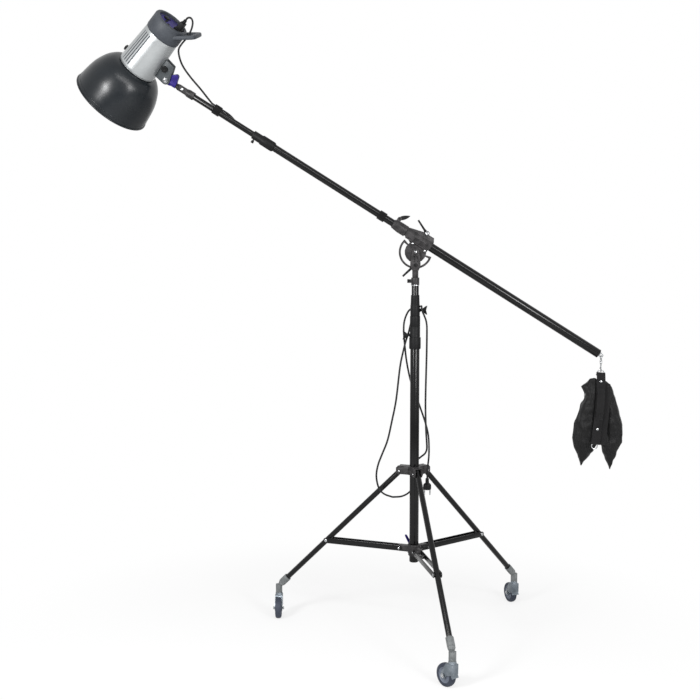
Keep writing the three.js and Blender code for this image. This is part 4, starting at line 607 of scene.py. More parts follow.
# %% A tube along the route
def through(points, steps):
    """A Catmull-Rom curve through points of two or three numbers."""
    line = [Vector(point) for point in [points[0], *points, points[-1]]]
    out = []
    for before, here, on, after in zip(line, line[1:], line[2:], line[3:]):
        for step in range(steps):
            t = step / steps
            out.append(here + (on - before) * (t / 2) + (before * 2 - here * 5 + on * 4 - after) * (t * t / 2)
                       + (here * 3 - before - on * 3 + after) * (t * t * t / 2))
    return out + [line[-2]]


def round_line(points, radius, resolution, closed=False):
    """The mesh of a round wire through points given in metres."""
    line = bpy.data.curves.new("line", "CURVE")
    line.dimensions = "3D"
    line.bevel_depth = radius
    line.bevel_resolution = resolution
    line.use_fill_caps = not closed
    spline = line.splines.new("POLY")
    spline.points.add(len(points) - 1)
    spline.use_cyclic_u = closed
    for point, place in zip(spline.points, points):
        point.co = (*place, 1)
    drawn = bpy.data.objects.new("line", line)
    mesh = bpy.data.meshes.new_from_object(drawn)
    bpy.data.objects.remove(drawn)
    return mesh


def cord_along(name, path, diameter):
    mesh = round_line(path, diameter / 2, 2)
    mesh.name = name
    mesh.shade_smooth()
    mesh.set_sharp_from_angle(angle=math.radians(50))
    mesh.materials.clear()
    mesh.materials.append(lead_rubber)
    return placed(name, mesh)


# %% [markdown]
# Each stretch is a round cord of its own, and its length is added to the total. A stretch that crosses a
# joint rides on no body; the last two ride on the lower riser. On the real stand the long loop's slack
# takes up the upper riser's travel.

# %% Lay the lead in its stretches
lead_width = 0.0065


def on_stand(spot):
    return stand @ Vector([c * MM for c in spot])


def lead_stretch(name, points, bend=None, ride=None, with_pieces=(), stands_for=None):
    path = through([on_stand(point) for point in points], 5)
    made = cord_along(name, path, lead_width)
    if ride:
        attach(made, ride)
    if stands_for:
        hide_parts(stands_for)
    if bend:
        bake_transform(made)
    length = sum((b - a).length for a, b in zip(path, path[1:]))
    return length


total = 0
for name, points, bend, node in (
    ("lead_at_lamp", route[:8], ("lamp", "lamp_socket", (-740, -90, 2088), (-762, -80, 2040)), "lead_lamp"),
    ("lead_to_boom", route[7:], ("lamp_socket", "front", (-765, -80, 2035), (-760, -40, 1920)), None),
    ("lead_on_boom", along_boom, ("front", "middle", (-635, 4, 1802), (-150, 16, 1481)), "lead_boom"),
    ("lead_past_clamp", down_stand[:4], ("middle", "boom", (-100, 16, 1450), (-50, 28, 1408)), "lead_head"),
    ("lead_past_saddle", down_stand[3:6], ("boom", "tilt", (-41, 29, 1402), (-12, 33, 1358)), None),
    ("lead_past_pivot", down_stand[5:8], ("tilt", "head", (-8, 35, 1350), (0, 40, 1298)), None),
    ("lead_past_head", down_stand[7:10], ("head", "riser_2", (0, 40, 1293), (0, 38, 1228)), None),
    ("lead_loop", down_stand[9:27], ("riser_2", "riser_1", (0, 38, 1222), (-75, 10, 490)), None),
):
    total += lead_stretch(name, points, bend, stands_for=node)
total += lead_stretch("lead_return", down_stand[26:], ride="riser_1")
print(f"{total:.2f} m of lead laid, all but its hanging end")

# %% [markdown]
# The lead ends in a black moulded mains plug with two round pins. It hangs straight down on the last
# stretch, beside the hub, and turns with nothing: it simply hangs.

# %% The mains plug
def mains_plug():
    at = stand @ shift(44, -16, 556)
    shell = lathe([(0, -0.3), (5.2, -0.3), (6, -5), (5.4, -8), (6.4, -11), (6, -15.6), (12.5, -20.5),
                   (14, -26), (14, -36), (12.6, -40), (0, -40)], at, steps=40, ease=0.8)
    ribs = [lathe([(5, z - 1.1), (6.6, z - 0.7), (6.6, z + 0.7), (5, z + 1.1)], at, steps=32, ease=0.3)
            for z in (-3, -8.5, -13.5)]
    pins = [lathe([(0, -39.5), (2.4, -39.5), (2.4, -57.6), (1.6, -59), (0, -59)], at @ shift(x), steps=20,
                  ease=0.5, slot=1) for x in (-9.5, 9.5)]
    return piece("lead_plug_shell", "riser_1", [black_plastic, bright_zinc], [shell, *ribs, *pins],
                 "lead_plug")


total += lead_stretch("lead_hanging_end", hanging_end, ride="riser_1",
                      with_pieces=[mains_plug()], stands_for="lead_hang")
print(f"{total:.2f} m of lead in ten stretches")

# %% [markdown]
# The column and the two risers are steel tubes with a satin black coat, one inside the other. A tube is a
# ring profile spun once, with its rims eased so that each open end shows a bright edge. The column's foot
# is closed with a plastic plug, and a thin bare steel ring lies under the head.

# %% Column and risers
def spun_tube(radius, wall, start, end, place):
    rim = [(radius - wall, start), (radius, start), (radius, end), (radius - wall, end)]
    return lathe(rim, place, steps=64, ease=0.5)


foot_plug = lathe([(0, 256.6), (14.6, 256.6), (14.6, 257.7), (14.3, 258), (14.3, 268), (12.6, 268),
                   (12.6, 260), (0, 260)], stand, ease=0.4, slot=1)
piece("column_tube_coated", "base", [black_coat, black_plastic],
      [spun_tube(16, 1.5, 258, 1060, stand), foot_plug], "column_tube")
piece("riser_lower_coated", "riser_1", [black_coat], [spun_tube(14.2, 1.5, 340, 1160, stand)], "riser_lower")
head_ring = lathe([(12.6, 1222), (13.6, 1222), (14, 1222.5), (14, 1224.5), (13.6, 1225), (12.6, 1225)], stand,
                  ease=0.3, slot=1)
piece("riser_upper_coated", "riser_2", [black_coat, bright_zinc],
      [spun_tube(12.5, 1.5, 372, 1246, stand), head_ring], "riser_upper")
print("three upright tubes")

# %% [markdown]
# The tripod stands on three legs at 158, 40 and 280 degrees. Each leg hangs on a pin of the fixed hub, and
# a pair of flat struts ties it to the sliding hub below. The hubs are die castings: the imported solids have
# their shape, so a merged copy gets soft edges and a pebbled coat. Bright rivets close every pin.

# %% Hubs, legs and struts
azimuths = {"left": 158, "right": 40, "front": 280}
leg_slope, pin_reach, leg_pin, strut_pin = 44.483, 51, 577.03, 303.03
strut_length, strut_along_leg = 279, 391.05


def out_at(side, height):
    return stand @ turned("Z", azimuths[side]) @ shift(pin_reach, 0, height)


def both_ways(place, half):
    return [place @ shift(y=way * half) @ turned("X", -90 * way) for way in (-1, 1)]


def rivet_pair(place, half, radius, height):
    return [rivet(radius, height, at, slot=1) for at in both_ways(place, half)]


hub_rivets, slider_rivets = [], []
for side in azimuths:
    hub_rivets += rivet_pair(out_at(side, leg_pin), 17.2, 3.6, 1.4)
    slider_rivets += rivet_pair(out_at(side, strut_pin), 17.2, 3.6, 1.4)
cast_piece("leg_hub_cast", "base", dark_casting, "leg_hub", 0.9, *hub_rivets)
cast_piece("strut_hub_cast", "strut_hub", dark_casting, "strut_hub", 0.8, *slider_rivets)


def leg(side):
    pin = out_at(side, leg_pin)
    along = pin @ turned("Y", 90 + leg_slope)
    ends = [(along.inverted() @ v.co).z / MM for v in nodes["leg_" + side].data.vertices]
    start, end = min(ends), max(ends)
    plug = lathe([(0, start - 0.1), (7, start - 0.1), (7.8, start + 0.8), (7.8, start + 16), (0, start + 16)],
                 along, ease=0.4, slot=1)
    strut_eye = pin @ turned("Y", leg_slope) @ shift(strut_along_leg)
    spacers = [lathe([(4, 9.2), (8, 9.2), (8, 11.1), (4, 11.1)], at, steps=32, ease=0.3)
               for place in (pin, strut_eye) for at in both_ways(place, 0)]
    piece(f"leg_{side}_coated", "leg_" + side, [black_coat, black_plastic],
          [spun_tube(9.5, 1.5, start, end, along), plug, *spacers], "leg_" + side)


def strut(side):
    at = out_at(side, strut_pin)
    outline = arc(0, 0, 9.5, 90, 270, 14) + arc(strut_length, 0, 9.5, -90, 90, 14)
    bars = [plate(outline, low, high, at, 0.7) for low, high in ((11.5, 14.3), (-14.3, -11.5))]
    rivets = rivet_pair(at @ shift(strut_length), 14.2, 5.6, 2.2)
    sleeve = lathe([(4.4, -11.5), (6.4, -11.5), (6.4, 11.5), (4.4, 11.5)],
                   at @ shift(64) @ turned("X", -90), steps=28, ease=0.3)
    piece(f"strut_{side}_coated", "strut_" + side, [black_coat, bright_zinc], [*bars, *rivets, sleeve],
          "strut_" + side)


for side in azimuths:
    leg(side)
    strut(side)
cast_piece("hub_lever_cast", "strut_hub_lever", violet_coat, "strut_hub_lever", 0.5)
cast_piece("hub_knob_cast", "strut_hub_knob", black_plastic, "strut_hub_knob", 0.7)
print("hubs, legs, struts, a violet lever and a knob")

# %% [markdown]
# Each leg ends in a grey cast foot, bent at the knee so that its caster stands upright. The fork is
# pressed from blue-grey plated steel and holds the axle between two bright nuts. The wheel has a dark
# blue-grey tread on a lighter core. The tread is spun with a crowned profile, as a moulded wheel is.

# %% Feet and casters
def wheel_axle(side):
    joint = joints[f"caster_{side}_roll"]
    axle, up = Vector(joint["axis"]).normalized(), Vector((0, 0, 1))
    return on_axes(up.cross(axle), up, axle, joint["pos_m"])


def mirrored(profile):
    """A profile given from its lower end to the middle, and the same again upside down."""
    return profile + [(radius, -height) for radius, height in reversed(profile) if height]


def caster(side):
    at = wheel_axle(side)
    tread = lathe(mirrored([(25, -10.4), (32.5, -10.4), (35.6, -8.6), (37, -4.5), (37.4, 0)]), at, steps=72,
                  ease=0.8)
    core = lathe(mirrored([(4.5, -10.4), (9, -10.4), (9.4, -8), (12.5, -7.4), (21, -7.2), (23.5, -9.3),
                           (25.4, -9.3)]), at, steps=64, ease=0.7, slot=1)
    piece(f"caster_wheel_{side}_moulded", "wheel_" + side, [tread_rubber, core_grey], [tread, core],
          "caster_wheel_" + side)
    nuts = [hex_bolt(5.2, 3.2, at @ shift(z=way * 15.9) @ turned("X", 90 - 90 * way), 1, 0.8)
            for way in (-1, 1)]
    cast_piece(f"caster_fork_{side}_plated", "fork_" + side, fork_zinc, "caster_fork_" + side, 0.5, *nuts)
    cast_piece(f"leg_foot_{side}_cast", "leg_" + side, grey_casting, "leg_foot_" + side, 1.2)


for side in azimuths:
    caster(side)
print("three feet, forks and wheels")

# %% [markdown]
# Two clamps squeeze the tubes where they overlap. Both are moulded collars with a waist, a groove and a
# boss that holds the knob's screw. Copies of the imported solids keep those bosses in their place.

# %% Clamps and knobs on the stand
cast_piece("column_clamp_moulded", "base", black_plastic, "column_clamp", 0.8)
cast_piece("column_knob_moulded", "column_knob", black_plastic, "column_clamp_knob", 1.4)
cast_piece("riser_clamp_moulded", "riser_1", black_plastic, "riser_clamp", 0.8)
cast_piece("riser_knob_moulded", "riser_knob", black_plastic, "riser_clamp_knob", 1.4)
print("two clamps with their knobs")

# %% [markdown]
# The tilting head is the clever part: a yoke on a swivelling socket, a slotted sector that turns on one
# bolt between the yoke's cheeks, a lock screw that runs in the sector's slot, and a saddle above that grips
# the boom. All are dark castings. The bolt, the rivets and the saddle's screw are bright.

# %% The tilting head
cast_piece("head_socket_cast", "head", dark_casting, "head_socket", 0.6)
cast_piece("head_knob_moulded", "head_knob", black_plastic, "head_socket_knob", 0.6)
tilt_bolts = [hex_bolt(4.2, 2.6, at, 1) for at in both_ways(head, 18.4)]
cast_piece("yoke_cast", "head", dark_casting, "yoke", 0.7, *tilt_bolts)
cast_piece("tilt_lever_moulded", "tilt_lever", black_plastic, "tilt_lock_lever", 0.6)
sector_rivets = []
for x in (-24, 24):
    sector_rivets += rivet_pair(tilted @ shift(x, 0, 20), 13.9, 3.2, 1.6)
cast_piece("tilt_sector_cast", "tilt", dark_casting, "tilt_sector", 0.6, *sector_rivets)
cast_piece("saddle_cast", "tilt", dark_casting, "saddle", 0.9)
screw_at = Matrix.Translation(joints["saddle_lever_turn"]["pos_m"]) @ turned("Y", boom_lean)
saddle_screws = [well_screw(6, 2.4, at, 1) for at in both_ways(screw_at, 15.2)]
cast_piece("saddle_lever_moulded", "saddle_lever", black_plastic, "saddle_lever", 0.7, *saddle_screws)
print("socket, yoke, sector, saddle and two levers")

# %% [markdown]
# The boom is three tubes again. The rear one is gripped by the head, and its clamp with the wing lever
# holds the middle one, whose own clamp holds the thin front one. Hook-and-loop ties bind the lead to the
# tubes: each is a band round the tube with a lump where the lead lies under it.

# %% The boom
for part, radius, wall, start, end in (
    ("boom", 15, 1.5, -92, 718), ("middle", 12.5, 1.5, -650, 180), ("front", 10, 1.3, -928, -330),
):
    piece(part + "_tube_coated", part, [black_coat], [spun_tube(radius, wall, start, end, boom @ ALONG_X)],
          part + "_tube")


def end_plug(eye_start):
    """The plug of the boom's end, with its steel eye in the second finish."""
    part, back = casting("boom_plug", 0.5), boom.inverted()
    for face in part.faces:
        if (back @ face.calc_center_median()).x / MM > eye_start:
            face.material_index = 1
    return part


piece("boom_plug_fitted", "boom", [black_plastic, bright_zinc], [end_plug(722.2)], "boom_plug")
cast_piece("boom_clamp_cast", "boom", dark_casting, "boom_clamp", 0.8)
cast_piece("wing_lever_moulded", "boom_lever", black_plastic, "boom_clamp_lever", 1.2)
cast_piece("middle_clamp_moulded", "middle", black_plastic, "middle_clamp", 0.8)
cast_piece("middle_knob_moulded", "middle_knob", black_plastic, "middle_clamp_knob", 0.7)
button = well_screw(4.8, 1.8, boom @ shift(-959, -10.8, 0) @ turned("X", 90), 1)
cast_piece("boom_tip_cast", "front", dark_casting, "boom_tip", 0.7, button)
for name, body in (("tie_front", "front"), ("tie_rear", "middle")):
    cast_piece(name + "_band", body, tie_tape, name, 1.0)
print("three tubes, three clamps, a tip and two ties")

# %% [markdown]
# The lamp hangs on a violet socket that swivels on the boom's tip. A thin steel lever locks it. The grey
# bracket straddles the socket's eye: it carries a big round knob on each cheek, and the tilt bolt sits on a
# bright washer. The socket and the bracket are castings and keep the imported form.

# %% Socket and bracket
cast_piece("lamp_socket_cast", "lamp_socket", violet_coat, "lamp_socket", 0.8)
socket_side = lamp_roll @ shift(-995, 11.8, 0)
lever_stem = lathe([(0, 0), (4, 0), (4, 10), (3, 11), (0, 11)], socket_side @ turned("X", -90), steps=28)
lever_arm = lathe([(0, -3.6), (1.9, -3.6), (1.5, 24), (0.9, 25.8), (0, 25.8)], socket_side @ shift(y=9),
                  steps=20, ease=0.3)
piece("socket_lever_turned", "socket_lever", [black_plastic], [lever_stem, lever_arm], "lamp_socket_lever")


def bracket_hardware(way):
    turn = turned("X", -90 * way)
    side = lamp @ shift(y=way * 12.4)
    face = lamp @ shift(y=way * 15.9) @ turn
    washer = lathe([(4, 0), (9.2, 0), (9.2, 1), (8.8, 1.3), (4, 1.3)], face, steps=40, ease=0.2, slot=1)
    bolt = hex_bolt(5.6, 2.4, face @ shift(z=1.2), 1)
    knob = lathe([(0, 0), (10, 0), (10.8, 0.8), (10.8, 5.6), (9.8, 6.6), (5.6, 6.8), (4.8, 6), (0, 5.8)],
                 side @ shift(-28, 0, 24) @ turn, steps=44, ease=0.4, slot=2)
    return [washer, bolt, knob]


piece("lamp_bracket_cast", "lamp", [bracket_grey, bright_zinc, black_plastic],
      [casting("lamp_bracket", 0.8), *bracket_hardware(-1), *bracket_hardware(1)], "lamp_bracket")
print("socket, lever and bracket")

# %% [markdown]
# The housing is a tapered silver tube with four long grooves. It is spun with many steps, and the points
# that lie in a groove's narrow angle are sunk towards the axis before the tube is carried to its place. The
# faces round them take the dark slate finish as painted shade in the grooves. A small black catch sits on
# top.

# %% The lamp's housing
shell_back, shell_front, shell_radius, shell_flare = -107, 40, 59.5, 8
grooves, groove_half_width, groove_depth, groove_ends = (42, 52, 62, 71), 1.4, 1.3, (-95.4, 27.4)


def shell_at(x):
    return shell_radius + shell_flare * (x - shell_back) / (shell_front - shell_back)


def in_groove(spot):
    angle = math.degrees(math.atan2(spot.y, -spot.x))
    radius = spot.xy.length
    beside = min(abs(angle - middle) for middle in grooves)
    return (radius > shell_at(spot.z) - 0.6 and math.radians(beside) * radius < groove_half_width
            and groove_ends[0] < spot.z < groove_ends[1])


def housing():
    outer = [(shell_at(x), x) for x in (shell_back, -96, -95, 27, 28, shell_front)]
    part = lathe(outer + [(64.5, shell_front), (56.5, shell_back)], steps=480, ease=0.7)
    for vert in part.verts:
        spot = vert.co / MM
        if in_groove(spot):
            vert.co.xy *= (spot.xy.length - groove_depth) / spot.xy.length
            # the groove's faces take the slate finish in slot 2: painted shade in the grooves
            for face in vert.link_faces:
                face.material_index = 2
    bmesh.ops.transform(part, matrix=beam_axis, verts=part.verts)
    catch = block(3.5, 20.5, -6.5, 6.5, 162, 172.6, lamp, 1.6, 1)
    slider = block(7, 17, -3.6, 3.6, 172.2, 174, lamp, 0.7, 1)
    seam = lathe([(66.9, 36.2), (67.6, 36.3), (67.6, 37.1), (66.9, 37.2)], beam_axis, steps=96, ease=0.1,
                 slot=2)
    piece("lamp_housing", "lamp", [silver_shell, black_plastic, slate_moulding], [part, catch, slider, seam],
          "lamp_body")


housing()
print("grooved housing with its catch")

# %% [markdown]
# The rear end is a slate moulding with a rounded rim round a sunk violet panel. Its handle is a bail that
# leans down and back. The bail is drawn as two outlines with the same number of points, bridged, made thick
# and rounded. On the panel sit the inlet, a few keys and a dial, all bare of lettering.

# %% Rear moulding, panel and handle
bail_place = lamp @ shift(-148, 0, 50) @ turned("Y", -47) @ turned("Z", 90)


def rounded_corner(x, y, start, radius):
    return arc(x, y, radius, start, start + 90, 8)


def bail(thick):
    outer = [(46, -16)] + rounded_corner(26, 42, 0, 20) + rounded_corner(-26, 42, 90, 20) + [(-46, -16)]
    inner = [(30, 6)] + rounded_corner(20, 36, 0, 10) + rounded_corner(-20, 36, 90, 10) + [(-30, 6)]
    part = bmesh.new()
    edges = []
    for outline in (outer, inner):
        ring = [part.verts.new((x * MM, y * MM, -thick / 2 * MM)) for x, y in outline]
        edges += [part.edges.new(pair) for pair in zip(ring, ring[1:] + ring[:1])]
    bmesh.ops.bridge_loops(part, edges=edges)
    thickened(part, (0, 0, thick * MM))
    soften(part, 3.6, angle=1.2, segments=4)
    return settled(part, bail_place)


def rear_end():
    shell = lathe([(40, -107.4), (60, -107.4), (61, -111), (61, -158), (59.5, -162.6), (55.6, -165),
                   (49, -165), (47.6, -163), (47.6, -155), (40, -154)], beam_axis, steps=120, ease=2.4)
    back = beam_axis @ shift(z=-156)
    panel = lathe([(0, -1.2), (44, -1.2), (48.2, -0.4), (48.2, 3), (0, 3)], back, steps=96, slot=1)
    ring = lathe([(40, -1.6), (41.2, -2), (42.4, -1.6), (42.4, -1), (40, -1)], back, steps=96, ease=0.2)
    down = back @ turned("X", 180)
    keys = [lathe([(0, 3.4), (3.6, 3.4), (4.2, 2.6), (4.2, 0.8), (0, 0.8)], down @ shift(x, y), steps=28,
                  ease=0.4, slot=2) for x, y in ((-14, -20), (-14, -8), (-14, 20), (0, -26))]
    dial = lathe([(0, 6.4), (8, 6.4), (9.4, 5), (9.8, 0.8), (0, 0.8)], down @ shift(-22, 6), steps=40,
                 ease=0.8, slot=2)
    inlet = block(-165.4, -156, -17, 17, 56, 81, lamp @ shift(y=6), 2.2, 2)
    piece("lamp_rear_moulded", "lamp", [slate_moulding, violet_coat, black_plastic],
          [shell, panel, ring, *keys, dial, inlet, bail(13)], "lamp_rear")


rear_end()
inlet_axis = lamp @ shift(y=6, z=68) @ ALONG_X
inlet_body = block(-190, -157.2, -7.4, 19.4, 58.7, 77.3, lamp, 2.4)
inlet_neck = lathe([(0, -189), (6, -189), (5.4, -194), (5, -202), (4.2, -202.3), (0, -202.3)], inlet_axis,
                   steps=28)
inlet_ribs = [lathe([(3.4, z - 1), (5.9, z - 0.7), (5.9, z + 0.7), (3.4, z + 1)], inlet_axis, steps=28,
                    ease=0.2) for z in (-192, -195.4, -198.8)]
piece("inlet_plug_moulded", "lamp", [black_plastic], [inlet_body, inlet_neck, *inlet_ribs], "lead_inlet_plug")
print("rear moulding with panel, handle and inlet plug")

# %% [markdown]
# The reflector is spun sheet metal: a flat throat on the housing, a deep crown and a rolled rim with a fine
# bead before it. Its outside is a semi-matt black coat and its inside bright and dimpled, so one lathe gets
# two finishes: faces that look at the axis take the lining. A frosted dome over a ring-shaped flash tube
# sits in the throat.

# %% Reflector and flash head
throat_radius, mouth_radius, throat_at, rim_at, sheet_wall = 60, 135, 41, 198, 1.5


def bell():
    crown = [(throat_radius, throat_at)]
    for share, flare in ((0.03, 0.26), (0.1, 0.45), (0.24, 0.66), (0.48, 0.86), (0.76, 0.965)):
        crown.append((throat_radius + (mouth_radius - throat_radius) * flare,
                      throat_at + (rim_at - throat_at) * share))
    outer = [tuple(point) for point in through(crown + [(mouth_radius, 192)], 6)]
    inner = [(radius - sheet_wall, x + 1) for radius, x in reversed(outer)]
    roll = arc(135.6, 195, 2.9, -70, 150, 12)
    skin = lathe([(49, throat_at)] + outer + roll + inner + [(49, 42.6)], beam_axis, steps=144, ease=0,
                 lining=1)
    bead = lathe(arc(134.0, 181.5, 1.3, 0, 330, 11), beam_axis, steps=144, ease=0)
    piece("reflector_spun", "lamp", [reflector_coat, dimpled_mirror], [skin, bead], "reflector", crisp=45)


def flash():
    base = lathe([(0, 36), (61, 36), (61, 39.6), (48, 40.4), (47.6, 51), (46, 52), (31, 52), (31, 49),
                  (0, 49)], beam_axis, steps=80, ease=0.7)
    cover = [(30 * math.cos(a), 52 + 46 * math.sin(a)) for a in [i * math.pi / 24 for i in range(12)]]
    glass = lathe([(30, 49.4)] + cover + [(0, 98)], beam_axis, steps=64, ease=0, slot=1)
    ring = lathe(arc(20, 62, 3.2, 0, 340, 12), beam_axis, steps=64, ease=0, slot=2)
    posts = [lathe([(0, 48), (2.4, 48), (2.4, 62), (0, 62)], beam_axis @ shift(x), steps=16, ease=0.3)
             for x in (-20, 20)]
    piece("flash_dome", "lamp", [white_ceramic, frosted_glass, clear_tube], [base, glass, ring, *posts],
          "flash_head", crisp=45)


bell()
flash()
print("reflector, dome and flash tube")

# %% [markdown]
# The counterweight is a saddle sandbag on a swivel snap hook. The hook and the rings are bent from round
# wire, so each is a short path given a round section. The hook's barrel is turned, and its shank is a
# forging that swells to its eye.

# %% Snap hook and rings
def bent_wire(points, radius, slot=0, closed=False):
    mesh = round_line([[c * MM for c in point] for point in points], radius * MM, 3, closed)
    part = bmesh.new()
    part.from_mesh(mesh)
    bpy.data.meshes.remove(mesh)
    bmesh.ops.remove_doubles(part, verts=part.verts, dist=1e-6)
    bmesh.ops.recalc_face_normals(part, faces=part.faces)
    return settled(part, hanging, slot)


def hoop(radius, wire, place, slot=0):
    return lathe(arc(radius, 0, wire, 0, 330, 11), place, steps=40, ease=0.05, slot=slot)


def snap_hook():
    barrel = lathe([(0, -17), (3.6, -17), (4.6, -18.4), (4.6, -21.6), (3.4, -22.8), (4.3, -24), (4.3, -27.4),
                    (2.6, -29.6), (2.2, -37), (3.2, -42.6), (0, -42.6)], hanging, steps=36, ease=0.5)
    eye = hoop(7.5, 2, hanging @ shift(z=-8.85) @ turned("Y", 90))
    claw = hoop(7.5, 2.1, hanging @ shift(z=-48) @ turned("Y", 90))
    gate = bent_wire([(0, 6.6, -42.5), (0, 9.4, -46), (0, 8.4, -50.5)], 1.3)
    thumb = lathe([(0, 0), (1.8, 0), (1.8, 3), (1.2, 3.6), (0, 3.6)],
                  hanging @ shift(y=9.6, z=-45) @ turned("X", -90), steps=20, ease=0.3)
    piece("snap_hook_forged", "counterweight", [bright_zinc], [barrel, eye, claw, gate, thumb], "snap_hook")


snap_hook()
print("snap hook forged")

# %% [markdown]
# Each pouch of the bag is filled cloth. It starts as a stack of oval slices bridged into a closed skin,
# a little thinner than the real one. The skin is remeshed into even quads and blown up as cloth by an
# inside pressure, with no point allowed to go far, so it bulges between its seams as a filled pouch does.
# Folds that run down the bag are pressed in afterwards, and one subdivision smooths the result.

# %% A sewn pouch, filled
# Each slice: how far down, its left and right ends and its thickness, as shares of the bag's own sizes
pouches = {
    "left": [(0, -0.4, -0.08, 0.26), (0.08, -0.7, 0.05, 0.66), (0.18, -0.64, 0.1, 0.84),
             (0.31, -0.8, 0.1, 0.95), (0.48, -0.96, 0.05, 1), (0.66, -1.01, 0, 0.95),
             (0.77, -0.92, -0.14, 0.8), (0.87, -0.76, -0.42, 0.5), (0.94, -0.66, -0.6, 0.12)],
    "right": [(0.02, -0.04, 0.22, 0.26), (0.08, -0.1, 0.42, 0.66), (0.18, -0.1, 0.54, 0.84),
              (0.31, -0.1, 0.7, 0.95), (0.5, -0.08, 0.87, 1), (0.68, -0.02, 0.83, 0.95),
              (0.8, 0.06, 0.68, 0.76), (0.92, 0.24, 0.5, 0.44), (0.99, 0.34, 0.4, 0.12)],
}
bag_top, bag_drop, bag_half_width, bag_half_depth = -78, 330, 100, 38
pressure, swelling, sim_frames = 4, 0.006, 20


def stacked_skin(slices, inset):
    part = bmesh.new()
    loops = []
    for down, left, right, thick in slices:
        middle = shift(bag_half_width * (left + right) / 2, 0, bag_top - bag_drop * down)
        half_width = max(bag_half_width * (right - left) / 2 - inset, 1)
        half_depth = max(bag_half_depth * thick - inset, 1)
        size = Matrix.Diagonal((half_width * MM, half_depth * MM, 1, 1))
        ring = bmesh.ops.create_circle(part, cap_ends=False, segments=36, radius=1, matrix=middle @ size)
        loops.append(list({edge for vert in ring["verts"] for edge in vert.link_edges}))
    for upper, lower in zip(loops, loops[1:]):
        bmesh.ops.bridge_loops(part, edges=upper + lower)
    bmesh.ops.holes_fill(part, edges=loops[0] + loops[-1], sides=0)
    bmesh.ops.transform(part, matrix=hanging, verts=part.verts)
    bmesh.ops.recalc_face_normals(part, faces=part.faces)
    return part


def evaluated(made):
    return made.evaluated_get(bpy.context.evaluated_depsgraph_get())


def remeshed(made, size):
    even = made.modifiers.new("even quads", "REMESH")
    even.mode = "VOXEL"
    even.voxel_size = size
    mesh = bpy.data.meshes.new_from_object(evaluated(made))
    made.modifiers.remove(even)
    made.data = mesh


def blown_up(made, cap):
    still = [vert.co.copy() for vert in made.data.vertices]
    cloth = made.modifiers.new("filling", "CLOTH")
    cloth.settings.use_pressure = True
    cloth.settings.uniform_pressure_force = pressure
    cloth.settings.effector_weights.gravity = 0
    for step in range(sim_frames):
        bpy.context.scene.frame_set(step + 1)
    moved = [vert.co.copy() for vert in evaluated(made).data.vertices]
    made.modifiers.remove(cloth)
    bpy.context.scene.frame_set(1)
    for vert, old, new in zip(made.data.vertices, still, moved):
        push = new - old
        vert.co = old + push * min(1, cap / max(push.length, 1e-9))


def creased(made, depth):
    normals = [vert.normal.copy() for vert in made.data.vertices]
    for vert, normal in zip(made.data.vertices, normals):
        x, y, z = vert.co
        fold = noise.noise(Vector((x * 62 + z * 12, y * 34, z * 11)))
        pucker = noise.noise(Vector((x * 30, y * 30, z * 55)))
        vert.co += normal * (fold * depth + pucker * depth * 0.45 - depth * 0.2)
    made.data.update()


def sewn_pouch(side):
    name = "sandbag_pouch_" + side
    made = placed(name, mesh_of(name, stacked_skin(pouches[side], 5)))
    remeshed(made, 0.0045)
    blown_up(made, swelling)
    creased(made, 0.005)
    part = bmesh.new()
    part.from_mesh(made.data)
    bmesh.ops.subdivide_edges(part, edges=part.edges, cuts=1, use_grid_fill=True, smooth=0.6)
    bmesh.ops.smooth_vert(part, verts=part.verts, factor=0.5, use_axis_x=True, use_axis_y=True,
                          use_axis_z=True)
    bmesh.ops.recalc_face_normals(part, faces=part.faces)
    part.to_mesh(made.data)
    part.free()
    made.data.materials.clear()
    made.data.materials.append(bag_cloth)
    made.data.shade_smooth()
    made.data.name = name
    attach(made, "counterweight")
    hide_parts("sandbag")
    return made


sewn = {side: sewn_pouch(side) for side in pouches}
print("pouches sewn:", {side: len(made.data.polygons) for side, made in sewn.items()}, "faces")

# %% [markdown]
# Inside lies the sand itself, a slightly smaller pair of the same shapes. A corded seam closes each side of
# a pouch. Its line is read from the finished cloth: at each height it follows the outermost point.

# %% Sand and seams
seam_levels, level_reach = range(96, 372, 12), 4


def seam_line(side, way):
    flat = hanging.inverted()
    spots = [(flat @ vert.co) / MM for vert in sewn[side].data.vertices]
    line = []
    for level in seam_levels:
        near = [spot for spot in spots if abs(spot.z + level) < level_reach]
        if near:
            edge = max(near, key=lambda spot: spot.x * way)
            line.append((edge.x, edge.y * 0.6, edge.z))
    return line


sand = [settled(stacked_skin(slices[1:-1], 20)) for slices in pouches.values()]
piece("sandbag_sand", "counterweight", [dry_sand], sand, "sandbag_filling")
seams = [bent_wire(seam_line(side, way), 1.1) for side, way in (("left", -1), ("right", 1))]
piece("sandbag_seams", "counterweight", [seam_tape], seams, "sandbag", crisp=60)
print("sand and seams in place")

# %% [markdown]
# Webbing carries the bag. One strap runs from the top ring down the front, a second strip lies beside it,
# and a grab strap stands proud between two rivets. A ribbon is a line of points given a thickness, then
# made wide along the other axis.

# %% Webbing, rivets and rings
strap_place = hanging @ shift(z=-65.2) @ turned("Y", 5.3)


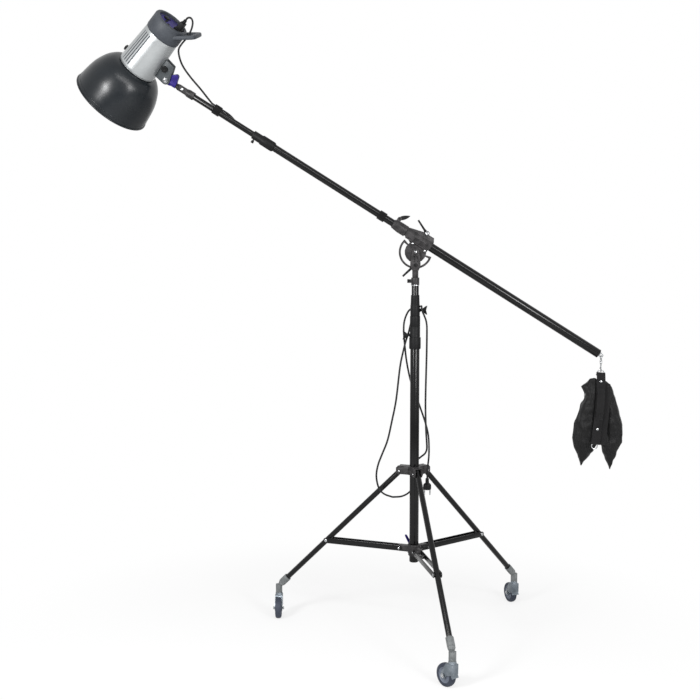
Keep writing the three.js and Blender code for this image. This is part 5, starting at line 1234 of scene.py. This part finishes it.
def ribbon(points, thick, width, across=0):
    line = through(points, 4)
    sides = []
    for before, on in zip([line[0]] + line, line[1:] + [line[-1]]):
        along = (on - before).normalized()
        sides.append(Vector((-along.y, along.x)) * thick / 2)
    outline = [tuple(p + s) for p, s in zip(line, sides)] + [tuple(p - s) for p, s in zip(line, sides)][::-1]
    return plate(outline, -width / 2, width / 2, strap_place @ shift(x=across) @ turned("Z", 90))


def rivet_on(y, z):
    return rivet(4.2, 1.8, strap_place @ shift(0, y, z) @ turned("X", 90), slot=1)


def stitch(x, z):
    cloth_at = -45.0 if z < -150 else -27.6 + (z + 38) * 0.25
    return block(x - 1.1, x + 1.1, -0.4, 0.3, -0.3, 0.3, strap_place @ shift(y=cloth_at, z=z), 0.1)


carrier = ribbon([(2.6, -6), (3.4, 0), (0.5, 4), (-5, 1), (-25, -36), (-39.6, -89), (-43.6, -165),
                  (-41, -231)], 2.4, 30)
strip = ribbon([(-12, -30), (-30, -66), (-37, -100), (-41, -165), (-40.5, -240)], 1.8, 27, across=21)
grab = ribbon([(-31.6, -48), (-40, -58), (-49, -90), (-52.5, -120), (-49.5, -146), (-45.6, -152)], 2.6, 25)
foot_fold = ribbon([(-43.6, -196), (-45.4, -215), (-43.6, -236), (-39.5, -239), (-37.6, -233)], 2.2, 28)
stitches = [stitch(x, z) for z in (-168, -176, -206) for x in range(-12, 13, 4)]
ring_half, ring_foot = 13.5, -65.2
ring_bow = [(x, 0, z) for x, z in arc(0, ring_foot + 0.5, ring_half, 180, 0, 12)]
top_ring = bent_wire([(-ring_half, 0, ring_foot), *ring_bow, (ring_half, 0, ring_foot)], 2, slot=1,
                     closed=True)
foot_ring = hoop(10, 1.9, strap_place @ shift(-3, -41, -245) @ turned("X", 90), slot=1)
piece("sandbag_webbing", "counterweight", [webbing, bright_zinc],
      [carrier, strip, grab, foot_fold, *stitches, top_ring, foot_ring, rivet_on(-20.6, -24),
       rivet_on(-46.2, -186)], "sandbag")
print("webbing, rivets and rings in place")
